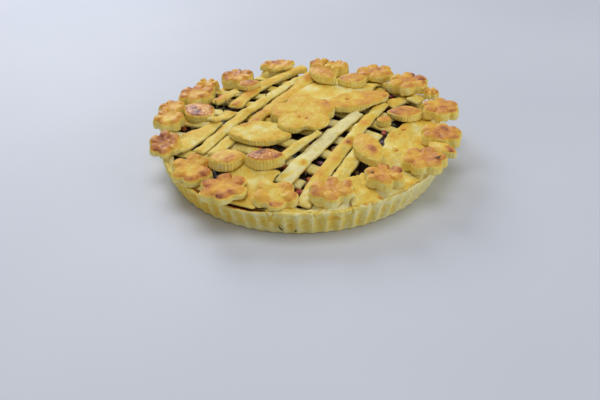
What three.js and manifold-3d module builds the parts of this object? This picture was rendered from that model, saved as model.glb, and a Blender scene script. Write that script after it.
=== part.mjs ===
// A savory pie with a lattice lid, turned out of its fluted tin. A shortcrust case holds the filling, two
// layers of dough strips and three wider sheets of dough cross it, dough flowers stand round the rim, and
// dough leaves and one large flower lie on the lattice. Millimetres, Z up: the pie's axis is Z, its foot
// stands on z = 0 and its front faces -Y. Directions are in degrees from +X towards +Y.

import * as THREE from 'three';
import { mergeVertices } from 'three/addons/utils/BufferGeometryUtils.js';
import loadManifold from 'manifold-3d';

// The case: a fluted wall that leans out, on a flat floor. Each flute is a shallow scoop between two ridges,
// deepest at its own height and shallower towards the foot and the rim. On the left of the front the rim
// sags.
const FOOT_RADIUS = 130;
const RIM_RADIUS = 139;
const RIM_HEIGHT = 26;
const FLUTE_HEIGHT = 19;
const RIM_ROUND = 1.2;
const RIM_WAVE = 0.6;
const RIM_SAG = 2.2;
const SAG_MIDDLE = 239;
const SAG_REACH = 20;
const WALL = 5;
const FLOOR = 4;
const FLUTES = 72;
const FLUTE_DEPTH = 3.2;
const FOOT_DEPTH = 1.4;
const RIM_DEPTH = 0.6;
const STEPS_PER_FLUTE = 4;
const HOLLOW_SIDES = 64;

// The filling: a low dome, heaped a little higher at the back, with chunks of vegetable and needles of
// rosemary where the lattice is open.
const FILL_EDGE = 22.5;
const FILL_CROWN = 12.5;
const FILL_TILT = 4;
const FILL_SIDES = 40;
const FILL_RINGS = 4;
const CHUNKS = 40;
const CHUNK_TRIES = 20000;
const CHUNK_SMALL = 3.5;
const CHUNK_LARGE = 8.5;
const CHUNK_WIDE = 0.7;
const CHUNK_HIGH = 0.8;
const CHUNK_REACH = 0.65;
const CHUNK_APART = 0.6;
const CHUNK_TILT = 0.5;
const NEEDLE_RADIUS = 0.9;
const NEEDLE_LENGTH = 26;
const NEEDLE_ROOT = 8;
const NEEDLE_LEAN = 12;
const NEEDLE_SIDES = 5;
const NEEDLE_CLEAR = 4;
const NEEDLE_SEARCH = 12;
const NEEDLES = [[-83, 27], [-79, 43], [-70, 20], [-35, 47]];

// The lattice. The lower strips run back to the left as far as the rim, each at its own offset from the
// middle and with its own end on the right, and the upper ones cross them. A strip with a via point curves
// towards it, one that swells is that much thicker at its far end, where its dough is folded, and one with a
// narrow end is a wedge.
const STRIP_STEP = 11;
const STRIP_SLOPE = 0.2;
const LOWER_THICK = 4;
const LOWER_WIDTH = 12;
const LOWER_DIRECTION = -30;
const LOWER_REACH = 136;
const LOWER_STRIPS = [
  { offset: -85, end: 48 },
  { offset: -61, end: 79 },
  { offset: -36, end: 72 },
  { offset: -10, end: 95 },
  { offset: 15, end: 76 },
  { offset: 37, end: 82 },
  { offset: 60, end: 72 },
  { offset: 83, end: 56 },
];
const UPPER_THICK = 4;
const UPPER_WIDTH = 13;
const UPPER_STRIPS = [
  { from: [-20, -100], to: [45, -1], width: 16, narrow: 13 },
  { from: [-1, -122], to: [80, 33], width: 14, narrow: 11 },
  { from: [31, -94], to: [47, -62] },
  { from: [-18, -62], to: [9, -36] },
  { from: [-97, -45], to: [12, 128], width: 12 },
  { from: [-84, -52], to: [-55, -7] },
  { from: [-46, 2], to: [7, 95] },
  { from: [-68, 38], via: [-50, 97], to: [3, 130], width: 15, swell: 4 },
  { from: [-112.5, -22], via: [-98, -15], to: [-86, 5], width: 30, narrow: 14 },
  { from: [-90, 3], to: [-70, 26] },
  { from: [-91, 51], to: [-68, 69] },
  { from: [91, 42], to: [113, 66] },
  { from: [112, 45], to: [125, 64] },
  { from: [78, 78], to: [86, 92] },
];

// The sheets: two wide bands laid along the upper strips, and a crescent on the right with a torn edge.
const SHEET_THICK = 3.5;
const SHEET_SLOPE = 0.25;
const SHEET_COLUMNS = 5;
const BANDS = [
  { from: [-60, -113], to: [-40, -73], width: 42 },
  { from: [12, 30], to: [64, 120], width: 56 },
];
const CRESCENT_OUTER = 137;
const CRESCENT_STEP = 4;
const TORN_EDGE = [
  [287, 107],
  [300, 99],
  [312, 93],
  [329, 87],
  [337, 80],
  [345, 84],
  [353, 90],
  [363, 97],
  [369, 110],
  [374, 122],
];
const TEAR_DEPTH = 1.5;
const TEAR_TEETH = 1.9;

// The cut-outs. A ring of a cut-out is its outline shrunk by a share, at a share of its thickness. The slope
// is the steepest that it bends down, and the tilt is the share of its bed's tilt that its top takes on. A
// piece that leans rises that much more towards the back, one with a bend has its own slope, and one with a
// depth is squashed to that share from front to back.
const FLOWER = { rings: [[1, 0.8], [0.87, 1], [0.45, 1.02]], slope: 0.12, tilt: 0.25 };
const LEAF = { rings: [[1, 0.85], [0.84, 1], [0.4, 1.03]], slope: 0.15, tilt: 0.15 };
const LARGE_FLOWER = { ...FLOWER, tilt: 0 };
const LARGE_LEAF = { ...LEAF, tilt: 1 };
const UNDER_SHARE = 0.55;
const LEAST_THICK = 2;
const PRISM_TOP = 100;
const FLOWER_STEPS = 4;
const FLOWER_NOTCH = 0.76;
const PETAL_ROUND = 0.6;
const BORDER_FLOWERS = [
  { at: [258.4, 121.5], across: 43, depth: 0.8, thick: 3.5, turn: 55, petals: 5, lean: 0.2, bend: 0.4 },
  { at: [281.3, 119], across: 43, depth: 0.8, thick: 6, turn: 28, lean: 0.1, bend: 0.4 },
  { at: [237, 127], across: 44, thick: 6, turn: 32 },
  { at: [304.5, 122], across: 39, depth: 0.92, thick: 9, turn: 30 },
  { at: [216.3, 123.5], across: 42, thick: 9.5, turn: 30, lean: 0.17 },
  { at: [325.5, 129.5], across: 42, thick: 9, turn: 5 },
  { at: [194.5, 134], across: 32, thick: 8, turn: 35, lean: 0.3 },
  { at: [348.5, 133], across: 40, thick: 9, turn: 18 },
  { at: [174, 133], across: 32, thick: 10, turn: 10, lean: 0.12 },
  { at: [10.6, 141], across: 40, thick: 10, turn: 25 },
  { at: [161.8, 140.5], across: 31, thick: 8, turn: 50 },
  { at: [23.5, 145.5], across: 17, thick: 7, turn: 0 },
  { at: [148, 131.5], across: 40, thick: 10, turn: 25 },
  { at: [34.7, 136.2], across: 45, thick: 11, turn: 20 },
  { at: [136.8, 140.5], across: 27, thick: 9, turn: 5, lean: 0.1 },
  { at: [123.3, 127], across: 38, thick: 11, turn: 40 },
  { at: [54, 135.5], across: 43, depth: 0.9, thick: 9, turn: 35 },
  { at: [101.5, 135], across: 39, depth: 0.75, thick: 5, turn: 15 },
  { at: [73, 134.5], across: 29, thick: 11, turn: 10 },
  { at: [81.2, 137.2], across: 27, thick: 11, turn: 50 },
];
const LEAF_POINTS = 18;
const LEAF_TAPER = 0.6;
const LEAVES = [
  { at: [-104, 31], turn: -45, length: 41, width: 29, thick: 9 },
  { at: [-68.5, -69], turn: 4, length: 34, width: 25, thick: 9.5 },
  { at: [-34.5, -73], turn: 2, length: 36, width: 23, thick: 11 },
  { at: [58, -61], turn: -72, length: 46, width: 25, thick: 9, lean: 0.1 },
  { at: [101.5, 19], turn: 6, length: 37, width: 23, thick: 8 },
  { at: [22, 93], turn: -46, length: 38, width: 23, thick: 9 },
  { at: [53.5, 84.5], turn: 5, length: 31, width: 26, thick: 9 },
  { at: [-56, 79], turn: 10, length: 25, width: 17, thick: 6 },
  { at: [127.5, -51], turn: -42, length: 30, width: 16, thick: 7 },
];
const CENTRE_LEAVES = [
  { at: [55, 33], turn: 29, length: 80, width: 33, thick: 6 },
  { at: [-39, -26], turn: 3, length: 65, width: 34, thick: 5 },
];
const CENTRE_FLOWER = { at: [0, 1.5], across: 65, thick: 6, turn: 95, petals: 5, lean: 0.12 };
const KNOB = { at: [78.5, -1.5], turn: 20, length: 15, width: 11, thick: 6.5 };
const KNOB_POINTS = 12;

// Clearance between pieces that touch, and the grid that pieces are laid over.
const GAP = 0.3;
const CELL = 0.5;
const HALF_CELLS = 370;
const CELLS = 2 * HALF_CELLS + 1;
const NEAR = [-2, -1, 0, 1, 2];
const AROUND = NEAR.flatMap((row) => NEAR.map((column) => row * CELLS + column));

const wasm = await loadManifold();
wasm.setup();
const heights = new Float32Array(CELLS * CELLS);
const cutOuts = [];
const cutOutPrisms = [];

const radians = THREE.MathUtils.degToRad;
const polar = (angle, radius) => [radius * Math.cos(angle), radius * Math.sin(angle)];
const range = (count) => Array.from({ length: count }, (_, i) => i);
const mix = THREE.MathUtils.lerp;

// Random numbers from 0 to 1 that are the same on each run.
function randomFrom(seed) {
  let state = seed;
  return () => {
    state = (state * 1664525 + 1013904223) % 4294967296;
    return state / 4294967296;
  };
}

function geometryOf({ points, triangles }) {
  const geometry = new THREE.BufferGeometry();
  geometry.setAttribute('position', new THREE.Float32BufferAttribute(points.flat(), 3));
  geometry.setIndex(triangles.flat());
  return geometry;
}

function manifoldOf(geometry) {
  const bare = new THREE.BufferGeometry();
  const flat = geometry.index ? geometry.toNonIndexed() : geometry;
  bare.setAttribute('position', flat.getAttribute('position'));
  const merged = mergeVertices(bare, 1e-3);
  return new wasm.Manifold(new wasm.Mesh({
    numProp: 3,
    vertProperties: new Float32Array(merged.attributes.position.array),
    triVerts: new Uint32Array(merged.index.array),
  }));
}

function geometryFrom(manifold) {
  const mesh = manifold.getMesh();
  const geometry = new THREE.BufferGeometry();
  geometry.setAttribute('position', new THREE.BufferAttribute(new Float32Array(mesh.vertProperties), 3));
  geometry.setIndex(new THREE.BufferAttribute(new Uint32Array(mesh.triVerts), 1));
  return geometry;
}

// A closed solid through rings of equal count, each counter-clockwise seen from above, from the middle of
// the under side, out and round the edge, to the middle of the top.
function ringSolid(underMiddle, rings, topMiddle) {
  const count = rings[0].length;
  const points = [underMiddle, ...rings.flat(), topMiddle];
  const outermost = 1 + (rings.length - 1) * count;
  const triangles = [];
  for (const i of range(count)) {
    const j = (i + 1) % count;
    triangles.push([0, 1 + j, 1 + i]);
    for (let lower = 1; lower < outermost; lower += count) {
      const upper = lower + count;
      triangles.push([lower + i, lower + j, upper + j], [lower + i, upper + j, upper + i]);
    }
    triangles.push([outermost + i, outermost + j, points.length - 1]);
  }
  return { points, triangles };
}

// A closed solid on a grid of plan points, rows going along it and columns from its left to its right. Its
// first half of points is the under side, and the second half is the top.
function gridSolid(plan, thick) {
  const rows = plan.length;
  const columns = plan[0].length;
  const half = rows * columns;
  const flat = plan.flat();
  const points = [...flat.map(([x, y]) => [x, y, 0]), ...flat.map(([x, y]) => [x, y, thick])];
  const at = (row, column) => row * columns + column;
  const triangles = [];
  for (const row of range(rows - 1)) {
    for (const column of range(columns - 1)) {
      const [a, b] = [at(row, column), at(row, column + 1)];
      const [c, d] = [at(row + 1, column + 1), at(row + 1, column)];
      triangles.push([a, c, b], [a, d, c]);
      triangles.push([half + a, half + b, half + c], [half + a, half + c, half + d]);
    }
  }
  const edge = [
    ...range(columns - 1).map((column) => at(0, column)),
    ...range(rows - 1).map((row) => at(row, columns - 1)),
    ...range(columns - 1).map((column) => at(rows - 1, columns - 1 - column)),
    ...range(rows - 1).map((row) => at(rows - 1 - row, 0)),
  ];
  edge.forEach((a, i) => {
    const b = edge[(i + 1) % edge.length];
    triangles.push([a, b, half + b], [a, half + b, half + a]);
  });
  return { points, triangles };
}

const cellAt = (x, y) => Math.round(y / CELL + HALF_CELLS) * CELLS + Math.round(x / CELL + HALF_CELLS);

// Visits each grid cell whose middle lies in the plan of a triangle, with the triangle's height there.
function eachCell([a, b, c], visit) {
  const area = (b[0] - a[0]) * (c[1] - a[1]) - (c[0] - a[0]) * (b[1] - a[1]);
  if (Math.abs(area) < 1e-6) return;
  const [left, right] = [Math.min(a[0], b[0], c[0]), Math.max(a[0], b[0], c[0])];
  const [front, back] = [Math.min(a[1], b[1], c[1]), Math.max(a[1], b[1], c[1])];
  for (let y = Math.ceil(front / CELL) * CELL; y <= back; y += CELL) {
    for (let x = Math.ceil(left / CELL) * CELL; x <= right; x += CELL) {
      const toB = ((x - a[0]) * (c[1] - a[1]) - (c[0] - a[0]) * (y - a[1])) / area;
      const toC = ((b[0] - a[0]) * (y - a[1]) - (x - a[0]) * (b[1] - a[1])) / area;
      if (toB < 0 || toC < 0 || toB + toC > 1) continue;
      visit(cellAt(x, y), a[2] + toB * (b[2] - a[2]) + toC * (c[2] - a[2]));
    }
  }
}

// Adds a laid piece to the heights, two cells wider all round than the piece is.
function settle({ points, triangles }) {
  for (const triangle of triangles) {
    eachCell(triangle.map((i) => points[i]), (cell, height) => {
      for (const step of AROUND) heights[cell + step] = Math.max(heights[cell + step], height);
    });
  }
}

// Gives the under side of a piece its heights: each point rests on what lies below it, the piece bends
// down no more steeply than its slope, and a triangle that would still cut in is lifted clear.
function rest(points, triangles, slope) {
  const bed = points.map(([x, y]) => heights[cellAt(x, y)] + GAP);
  for (const p of points) {
    const held = points.map((q, i) => bed[i] - slope * Math.hypot(p[0] - q[0], p[1] - q[1]));
    p[2] = Math.max(...held);
  }
  for (const triangle of triangles) {
    let lift = 0;
    eachCell(triangle.map((i) => points[i]), (cell, height) => {
      lift = Math.max(lift, heights[cell] + GAP - height);
    });
    for (const i of triangle) points[i][2] += lift;
  }
}

// Lays a grid solid: the top follows the under side at its own thickness, and swells towards the last row.
function layGrid(plan, thick, slope, swell = 0) {
  const solid = gridSolid(plan, thick);
  const half = solid.points.length / 2;
  const under = solid.points.slice(0, half);
  rest(under, solid.triangles.filter((triangle) => triangle.every((i) => i < half)), slope);
  under.forEach((p, i) => {
    const along = Math.floor(i / plan[0].length) / (plan.length - 1);
    solid.points[half + i][2] = p[2] + thick + swell * along ** 3;
  });
  settle(solid);
  return solid;
}

// Lays a cut-out with the given outline: the under side drapes, and the top keeps to the plane that fits
// the under side best, so that a thick piece tilts rather than bends. Cut-outs that were laid before it
// stay whole, and it loses what would lie in them.
function layCutOut(outline, { at, turn, thick, lean = 0, bend, depth = 1 }, { rings, slope, tilt }) {
  const [cos, sin] = [Math.cos(radians(turn)), Math.sin(radians(turn))];
  const ring = (share, z) => outline.map(([u, v]) => [
    at[0] + share * (u * cos - v * sin),
    at[1] + share * depth * (u * sin + v * cos),
    z,
  ]);
  const underRings = [ring(UNDER_SHARE, 0), ring(1, 0)];
  const topRings = rings.map(([share, height]) => ring(share, height * thick));
  const solid = ringSolid([...at, 0], [...underRings, ...topRings], [...at, thick]);
  const underCount = 1 + 2 * outline.length;
  const under = solid.points.slice(0, underCount);
  rest(under, solid.triangles.filter((triangle) => triangle.every((i) => i < underCount)), bend ?? slope);
  const along = ([x, y]) => (x - at[0]) * cos + (y - at[1]) * sin;
  const across = ([x, y]) => (y - at[1]) * cos - (x - at[0]) * sin;
  const sum = (value) => under.reduce((total, p) => total + value(p), 0);
  const level = sum((p) => p[2]) / underCount;
  const alongSlope = sum((p) => along(p) * p[2]) / sum((p) => along(p) ** 2);
  const acrossSlope = sum((p) => across(p) * p[2]) / sum((p) => across(p) ** 2);
  const bedTilt = (p) => alongSlope * along(p) + acrossSlope * across(p);
  const plane = (p) => level + tilt * bedTilt(p) + lean * (p[1] - at[1]);
  const edgeHeight = rings[0][1] * thick;
  const lift = Math.max(0, ...under.map((p) => p[2] + LEAST_THICK - plane(p) - edgeHeight));
  for (const p of solid.points.slice(underCount)) p[2] += plane(p) + lift;
  cutOuts.push(solid);
  const grown = 1 + 2 * GAP / Math.min(...outline.map((point) => Math.hypot(...point)));
  const prism = ringSolid([...at, 0], [ring(grown, 0), ring(grown, PRISM_TOP)], [...at, PRISM_TOP]);
  const whole = manifoldOf(geometryOf(solid));
  const bodies = cutOutPrisms.reduce((left, earlier) => left.subtract(earlier), whole).decompose();
  cutOutPrisms.push(manifoldOf(geometryOf(prism)));
  bodies.sort((one, other) => other.volume() - one.volume());
  return geometryFrom(bodies[0]);
}

// The plan of a strip: rows of points across it at even steps along it, from its own width to its narrow
// one. It curves towards a via point, and without one it is straight.
function stripPlan({ from, via, to, width = UPPER_WIDTH, narrow = width }, columns) {
  const middlePoint = via ?? [(from[0] + to[0]) / 2, (from[1] + to[1]) / 2];
  const corners = [from, middlePoint, to].map((point) => new THREE.Vector2(...point));
  const curve = new THREE.QuadraticBezierCurve(...corners);
  const steps = Math.max(2, Math.round(curve.getLength() / STRIP_STEP));
  return range(steps + 1).map((row) => {
    const middle = curve.getPointAt(row / steps);
    const ahead = curve.getTangentAt(row / steps);
    return range(columns).map((column) => {
      const right = mix(width, narrow, row / steps) * (column / (columns - 1) - 0.5);
      return [middle.x + ahead.y * right, middle.y - ahead.x * right];
    });
  });
}

// The radius of the torn edge: straight stretches between its corners, with ragged teeth.
function tornRadius(angle) {
  const next = TORN_EDGE.findIndex(([corner]) => corner >= angle);
  const [[fromAngle, fromRadius], [toAngle, toRadius]] = [TORN_EDGE[Math.max(next - 1, 0)], TORN_EDGE[next]];
  const share = toAngle > fromAngle ? (angle - fromAngle) / (toAngle - fromAngle) : 0;
  return mix(fromRadius, toRadius, share) + TEAR_DEPTH * Math.sin(angle * TEAR_TEETH);
}

// The crescent's plan, along its arc and from the torn edge, on its left, out to the rim.
function crescentPlan() {
  const [first, last] = [TORN_EDGE[0][0], TORN_EDGE.at(-1)[0]];
  const steps = Math.round((last - first) / CRESCENT_STEP);
  return range(steps + 1).map((row) => {
    const angle = mix(first, last, row / steps);
    return range(SHEET_COLUMNS).map((column) => {
      const radius = mix(tornRadius(angle), CRESCENT_OUTER, column / (SHEET_COLUMNS - 1));
      return polar(radians(angle), radius);
    });
  });
}

// A flower's outline: rounded petals with a notch between each two.
function flowerOutline(across, petals) {
  const count = petals * FLOWER_STEPS;
  return range(count).map((i) => {
    const angle = 2 * Math.PI * i / count;
    const swell = Math.abs(Math.cos(angle * petals / 2)) ** PETAL_ROUND;
    return polar(angle, across / 2 * mix(FLOWER_NOTCH, 1, swell));
  });
}

// A leaf's outline: two bowed edges that meet in a point at each end.
function leafOutline(length, width) {
  return range(LEAF_POINTS).map((i) => {
    const angle = 2 * Math.PI * i / LEAF_POINTS;
    const bow = Math.sign(Math.sin(angle)) * Math.abs(Math.sin(angle)) ** (1 / LEAF_TAPER);
    return [length / 2 * Math.cos(angle), width / 2 * bow];
  });
}

function knobOutline(length, width) {
  return range(KNOB_POINTS).map((i) => {
    const angle = 2 * Math.PI * i / KNOB_POINTS;
    return [length / 2 * Math.cos(angle), width / 2 * Math.sin(angle)];
  });
}

// The rim's height: it waves a little, and sags once.
function rimHeight(angle) {
  const wave = RIM_WAVE * Math.sin(7 * angle) * Math.cos(3 * angle);
  const away = (THREE.MathUtils.radToDeg(angle) - SAG_MIDDLE) / SAG_REACH;
  return RIM_HEIGHT + wave - RIM_SAG * Math.max(0, 1 - away ** 4);
}

// The fluted case with its hollow. A flute is deepest in its middle.
function caseGeometry() {
  const count = FLUTES * STEPS_PER_FLUTE;
  const ring = (height, inset, depth) => range(count).map((i) => {
    const angle = 2 * Math.PI * i / count;
    const mean = mix(FOOT_RADIUS, RIM_RADIUS, height / RIM_HEIGHT) - inset;
    const share = i % STEPS_PER_FLUTE / STEPS_PER_FLUTE;
    const scoop = 4 * Math.min(share, 1 - share) ** 2 - 0.5;
    return [...polar(angle, mean + depth * scoop), height === RIM_HEIGHT ? rimHeight(angle) : height];
  });
  const rings = [
    ring(0, 0, FOOT_DEPTH),
    ring(FLUTE_HEIGHT, 0, FLUTE_DEPTH),
    ring(RIM_HEIGHT, RIM_ROUND, RIM_DEPTH),
  ];
  const body = geometryOf(ringSolid([0, 0, 0], rings, [0, 0, RIM_HEIGHT]));
  const above = RIM_HEIGHT + WALL;
  const profile = [[0, FLOOR], [wallInside(FLOOR), FLOOR], [wallInside(above), above], [0, above]];
  const hollow = new THREE.LatheGeometry(profile.map((p) => new THREE.Vector2(...p)), HOLLOW_SIDES);
  hollow.rotateX(Math.PI / 2);
  return geometryFrom(manifoldOf(body).subtract(manifoldOf(hollow)));
}

const wallInside = (height) => mix(FOOT_RADIUS, RIM_RADIUS, height / RIM_HEIGHT) - WALL;
const fillReach = wallInside(FILL_EDGE - FILL_TILT) - GAP - RIM_WAVE;

function fillHeight(x, y) {
  const out = Math.hypot(x, y) / fillReach;
  return FILL_EDGE + FILL_CROWN * (1 - out ** 2) + FILL_TILT * y / fillReach;
}

// The bare filling: a disc that fills the hollow up to its dome.
function fillSolid() {
  const ring = (radius) => range(FILL_SIDES).map((i) => polar(2 * Math.PI * i / FILL_SIDES, radius));
  const under = FLOOR + GAP;
  const foot = ring(wallInside(under) - GAP - RIM_WAVE).map((point) => [...point, under]);
  const dome = range(FILL_RINGS).map((i) => ring(fillReach * (1 - i / FILL_RINGS)));
  const domeRings = dome.map((points) => points.map((point) => [...point, fillHeight(...point)]));
  return ringSolid([0, 0, under], [foot, ...domeRings], [0, 0, fillHeight(0, 0)]);
}

// Whether no piece of the lid covers the filling within a reach of a point.
function isOpen(x, y, reach, bare) {
  const cells = Math.ceil(reach / CELL);
  return range(2 * cells + 1).every((i) => range(2 * cells + 1).every((j) => {
    const cell = cellAt(x + (i - cells) * CELL, y + (j - cells) * CELL);
    return heights[cell] <= bare[cell];
  }));
}

// The open spot nearest to a wanted one that leaves a needle clear of the lid, if there is any.
function openSpot([x, y], bare) {
  const steps = range(2 * NEEDLE_SEARCH + 1).map((i) => i - NEEDLE_SEARCH);
  const spots = steps.flatMap((i) => steps.map((j) => [x + i, y + j]));
  spots.sort((a, b) => Math.hypot(a[0] - x, a[1] - y) - Math.hypot(b[0] - x, b[1] - y));
  return spots.find((spot) => isOpen(...spot, NEEDLE_CLEAR, bare));
}

// The filling with chunks of vegetable in the openings of the lid, the largest first, and the rosemary.
function fillGeometry(core, bare) {
  const random = randomFrom(11);
  const chunks = [];
  for (const i of range(CHUNK_TRIES)) {
    const size = mix(CHUNK_LARGE, CHUNK_SMALL, i / CHUNK_TRIES);
    const reach = CHUNK_REACH * size;
    const [x, y] = polar(2 * Math.PI * random(), fillReach * Math.sqrt(random()));
    const apart = (other) => Math.hypot(x - other.x, y - other.y) > CHUNK_APART * (size + other.size);
    if (Math.hypot(x, y) + reach > fillReach || !isOpen(x, y, reach, bare) || !chunks.every(apart)) continue;
    chunks.push({ x, y, size, turn: Math.PI * random(), tilt: CHUNK_TILT * random() });
    if (chunks.length === CHUNKS) break;
  }
  const boxes = chunks.map(({ x, y, size, turn, tilt }) => {
    const box = new THREE.BoxGeometry(size, CHUNK_WIDE * size, CHUNK_HIGH * size);
    return box.rotateX(tilt).rotateZ(turn).translate(x, y, fillHeight(x, y));
  });
  const needles = NEEDLES.map((wanted) => openSpot(wanted, bare)).filter(Boolean).map(([x, y], i) => {
    const needle = new THREE.CylinderGeometry(0, NEEDLE_RADIUS, NEEDLE_LENGTH, NEEDLE_SIDES);
    return needle
      .translate(0, NEEDLE_LENGTH / 2 - NEEDLE_ROOT, 0)
      .rotateX(Math.PI / 2)
      .rotateX(radians(i % 2 ? NEEDLE_LEAN : -NEEDLE_LEAN))
      .translate(x, y, fillHeight(x, y));
  });
  const joined = [...boxes, ...needles].reduce(
    (whole, piece) => whole.add(manifoldOf(piece)),
    manifoldOf(geometryOf(core)),
  );
  return geometryFrom(joined);
}

const crust = new THREE.MeshStandardMaterial({ color: 0xd9c480, roughness: 0.8, metalness: 0 });
const dough = new THREE.MeshStandardMaterial({ color: 0xdcc072, roughness: 0.7, metalness: 0 });
const glazed = new THREE.MeshStandardMaterial({ color: 0xcf9b4a, roughness: 0.45, metalness: 0 });
const vegetables = new THREE.MeshStandardMaterial({ color: 0x6b2f1e, roughness: 0.6, metalness: 0 });

function addMesh(group, name, geometry, material, [x, y] = [0, 0], turn = 0) {
  const mesh = new THREE.Mesh(geometry.translate(-x, -y, 0).rotateZ(-radians(turn)), material);
  mesh.name = name;
  mesh.position.set(x, y, 0);
  mesh.rotation.z = radians(turn);
  group.add(mesh);
}

const pie = new THREE.Group();
const base = new THREE.Group();
const lattice = new THREE.Group();
const border = new THREE.Group();
const centre = new THREE.Group();
pie.add(base, lattice, border, centre);

const shell = caseGeometry();
addMesh(base, 'crust_case', shell, crust);
const shellPoints = shell.getAttribute('position').array;
settle({
  points: range(shellPoints.length / 3).map((i) => [...shellPoints.slice(3 * i, 3 * i + 3)]),
  triangles: range(shell.index.count / 3).map((i) => [...shell.index.array.slice(3 * i, 3 * i + 3)]),
});
const core = fillSolid();
settle(core);
const bareHeights = heights.slice();

LOWER_STRIPS.forEach(({ offset, end }, i) => {
  const [dx, dy] = polar(radians(LOWER_DIRECTION), 1);
  const start = Math.sqrt(LOWER_REACH ** 2 - offset ** 2);
  const from = [-dy * offset - dx * start, dx * offset - dy * start];
  const to = [-dy * offset + dx * end, dx * offset + dy * end];
  const solid = layGrid(stripPlan({ from, to, width: LOWER_WIDTH }, 2), LOWER_THICK, STRIP_SLOPE);
  addMesh(lattice, `lower_strip_${i + 1}`, geometryOf(solid), dough, from, LOWER_DIRECTION);
});

UPPER_STRIPS.forEach((strip, i) => {
  const { from, to, swell } = strip;
  const direction = THREE.MathUtils.radToDeg(Math.atan2(to[1] - from[1], to[0] - from[0]));
  const solid = layGrid(stripPlan(strip, 2), UPPER_THICK, STRIP_SLOPE, swell);
  addMesh(lattice, `upper_strip_${i + 1}`, geometryOf(solid), dough, from, direction);
});

const sheetPlans = [
  ...BANDS.map((band) => stripPlan(band, SHEET_COLUMNS)),
  crescentPlan(),
];
sheetPlans.forEach((plan, i) => {
  const solid = layGrid(plan, SHEET_THICK, SHEET_SLOPE);
  addMesh(lattice, `dough_sheet_${i + 1}`, geometryOf(solid), dough, plan[0][0]);
});

const knob = layCutOut(knobOutline(KNOB.length, KNOB.width), KNOB, LEAF);
addMesh(lattice, 'dough_knob', knob, dough, KNOB.at, KNOB.turn);

LEAVES.forEach((leaf, i) => {
  const geometry = layCutOut(leafOutline(leaf.length, leaf.width), leaf, LEAF);
  addMesh(border, `leaf_${i + 1}`, geometry, glazed, leaf.at, leaf.turn);
});

BORDER_FLOWERS.forEach(({ at: [angle, radius], across, petals = 6, ...laid }, i) => {
  const at = polar(radians(angle), radius);
  const flower = layCutOut(flowerOutline(across, petals), { at, ...laid }, FLOWER);
  addMesh(border, `border_flower_${i + 1}`, flower, glazed, at, laid.turn);
});

const bloomOutline = flowerOutline(CENTRE_FLOWER.across, CENTRE_FLOWER.petals);
const bloom = layCutOut(bloomOutline, CENTRE_FLOWER, LARGE_FLOWER);
addMesh(centre, 'centre_flower', bloom, dough, CENTRE_FLOWER.at, CENTRE_FLOWER.turn);

CENTRE_LEAVES.forEach((leaf, i) => {
  const geometry = layCutOut(leafOutline(leaf.length, leaf.width), leaf, LARGE_LEAF);
  addMesh(centre, `centre_leaf_${i + 1}`, geometry, dough, leaf.at, leaf.turn);
});

cutOuts.forEach(settle);
addMesh(base, 'filling', fillGeometry(core, bareHeights), vegetables);

export default pie;
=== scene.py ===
"""A round savory pie with a lattice lid, dough leaves and a border of dough flowers."""

import bpy
import numpy as np
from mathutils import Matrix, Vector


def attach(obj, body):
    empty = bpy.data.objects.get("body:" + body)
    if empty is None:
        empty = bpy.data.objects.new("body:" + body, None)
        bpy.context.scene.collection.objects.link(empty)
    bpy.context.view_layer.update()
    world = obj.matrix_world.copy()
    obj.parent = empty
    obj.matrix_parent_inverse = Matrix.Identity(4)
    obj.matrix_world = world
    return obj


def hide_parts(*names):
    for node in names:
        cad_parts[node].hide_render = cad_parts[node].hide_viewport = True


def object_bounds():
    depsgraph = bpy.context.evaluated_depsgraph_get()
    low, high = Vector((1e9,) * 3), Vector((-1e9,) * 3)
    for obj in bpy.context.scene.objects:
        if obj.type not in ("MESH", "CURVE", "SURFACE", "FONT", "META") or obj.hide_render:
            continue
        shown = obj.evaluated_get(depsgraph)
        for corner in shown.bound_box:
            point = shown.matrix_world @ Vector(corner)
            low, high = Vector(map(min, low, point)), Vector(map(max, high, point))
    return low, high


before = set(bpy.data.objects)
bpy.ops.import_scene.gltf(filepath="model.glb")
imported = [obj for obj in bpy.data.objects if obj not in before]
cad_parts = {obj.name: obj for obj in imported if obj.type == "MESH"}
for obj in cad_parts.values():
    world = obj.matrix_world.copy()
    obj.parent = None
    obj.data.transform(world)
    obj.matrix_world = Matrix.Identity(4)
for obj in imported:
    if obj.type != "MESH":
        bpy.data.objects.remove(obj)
cad_box = [list(corner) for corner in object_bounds()]


# The case is shortcrust, rolled out, pressed into a fluted tin and baked. Turned out of the tin, its wall
# keeps the tin's flutes, pale and sandy, under a crumbly rim that was trimmed by hand.
MM = 0.001
FLUTES = 72
FLUTE_STEPS = 18
FLOOR_RADIUS = 100
RIM_RADIUS = 136.5
RIM_HEIGHT = 26
RIM_DEPTH = 0.6
RIDGE_ROUND = 0.06
GROOVE_WIDTH = 0.6
FRONT_BEARING = 290
DRIP_BEARING = 280
DRIP_HEIGHT = 20.5
GRAIN_KEYS = np.array([73856093, 19349663, 83492791])


def node_triangles(name):
    """A solid's triangles in millimetres, as an array of triangle, corner and coordinate."""
    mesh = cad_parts[name].data
    places = np.empty(len(mesh.vertices) * 3)
    mesh.vertices.foreach_get("co", places)
    mesh.calc_loop_triangles()
    corners = np.empty(len(mesh.loop_triangles) * 3, dtype=np.int32)
    mesh.loop_triangles.foreach_get("vertices", corners)
    return (places.reshape(-1, 3) / MM)[corners.reshape(-1, 3)]


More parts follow.
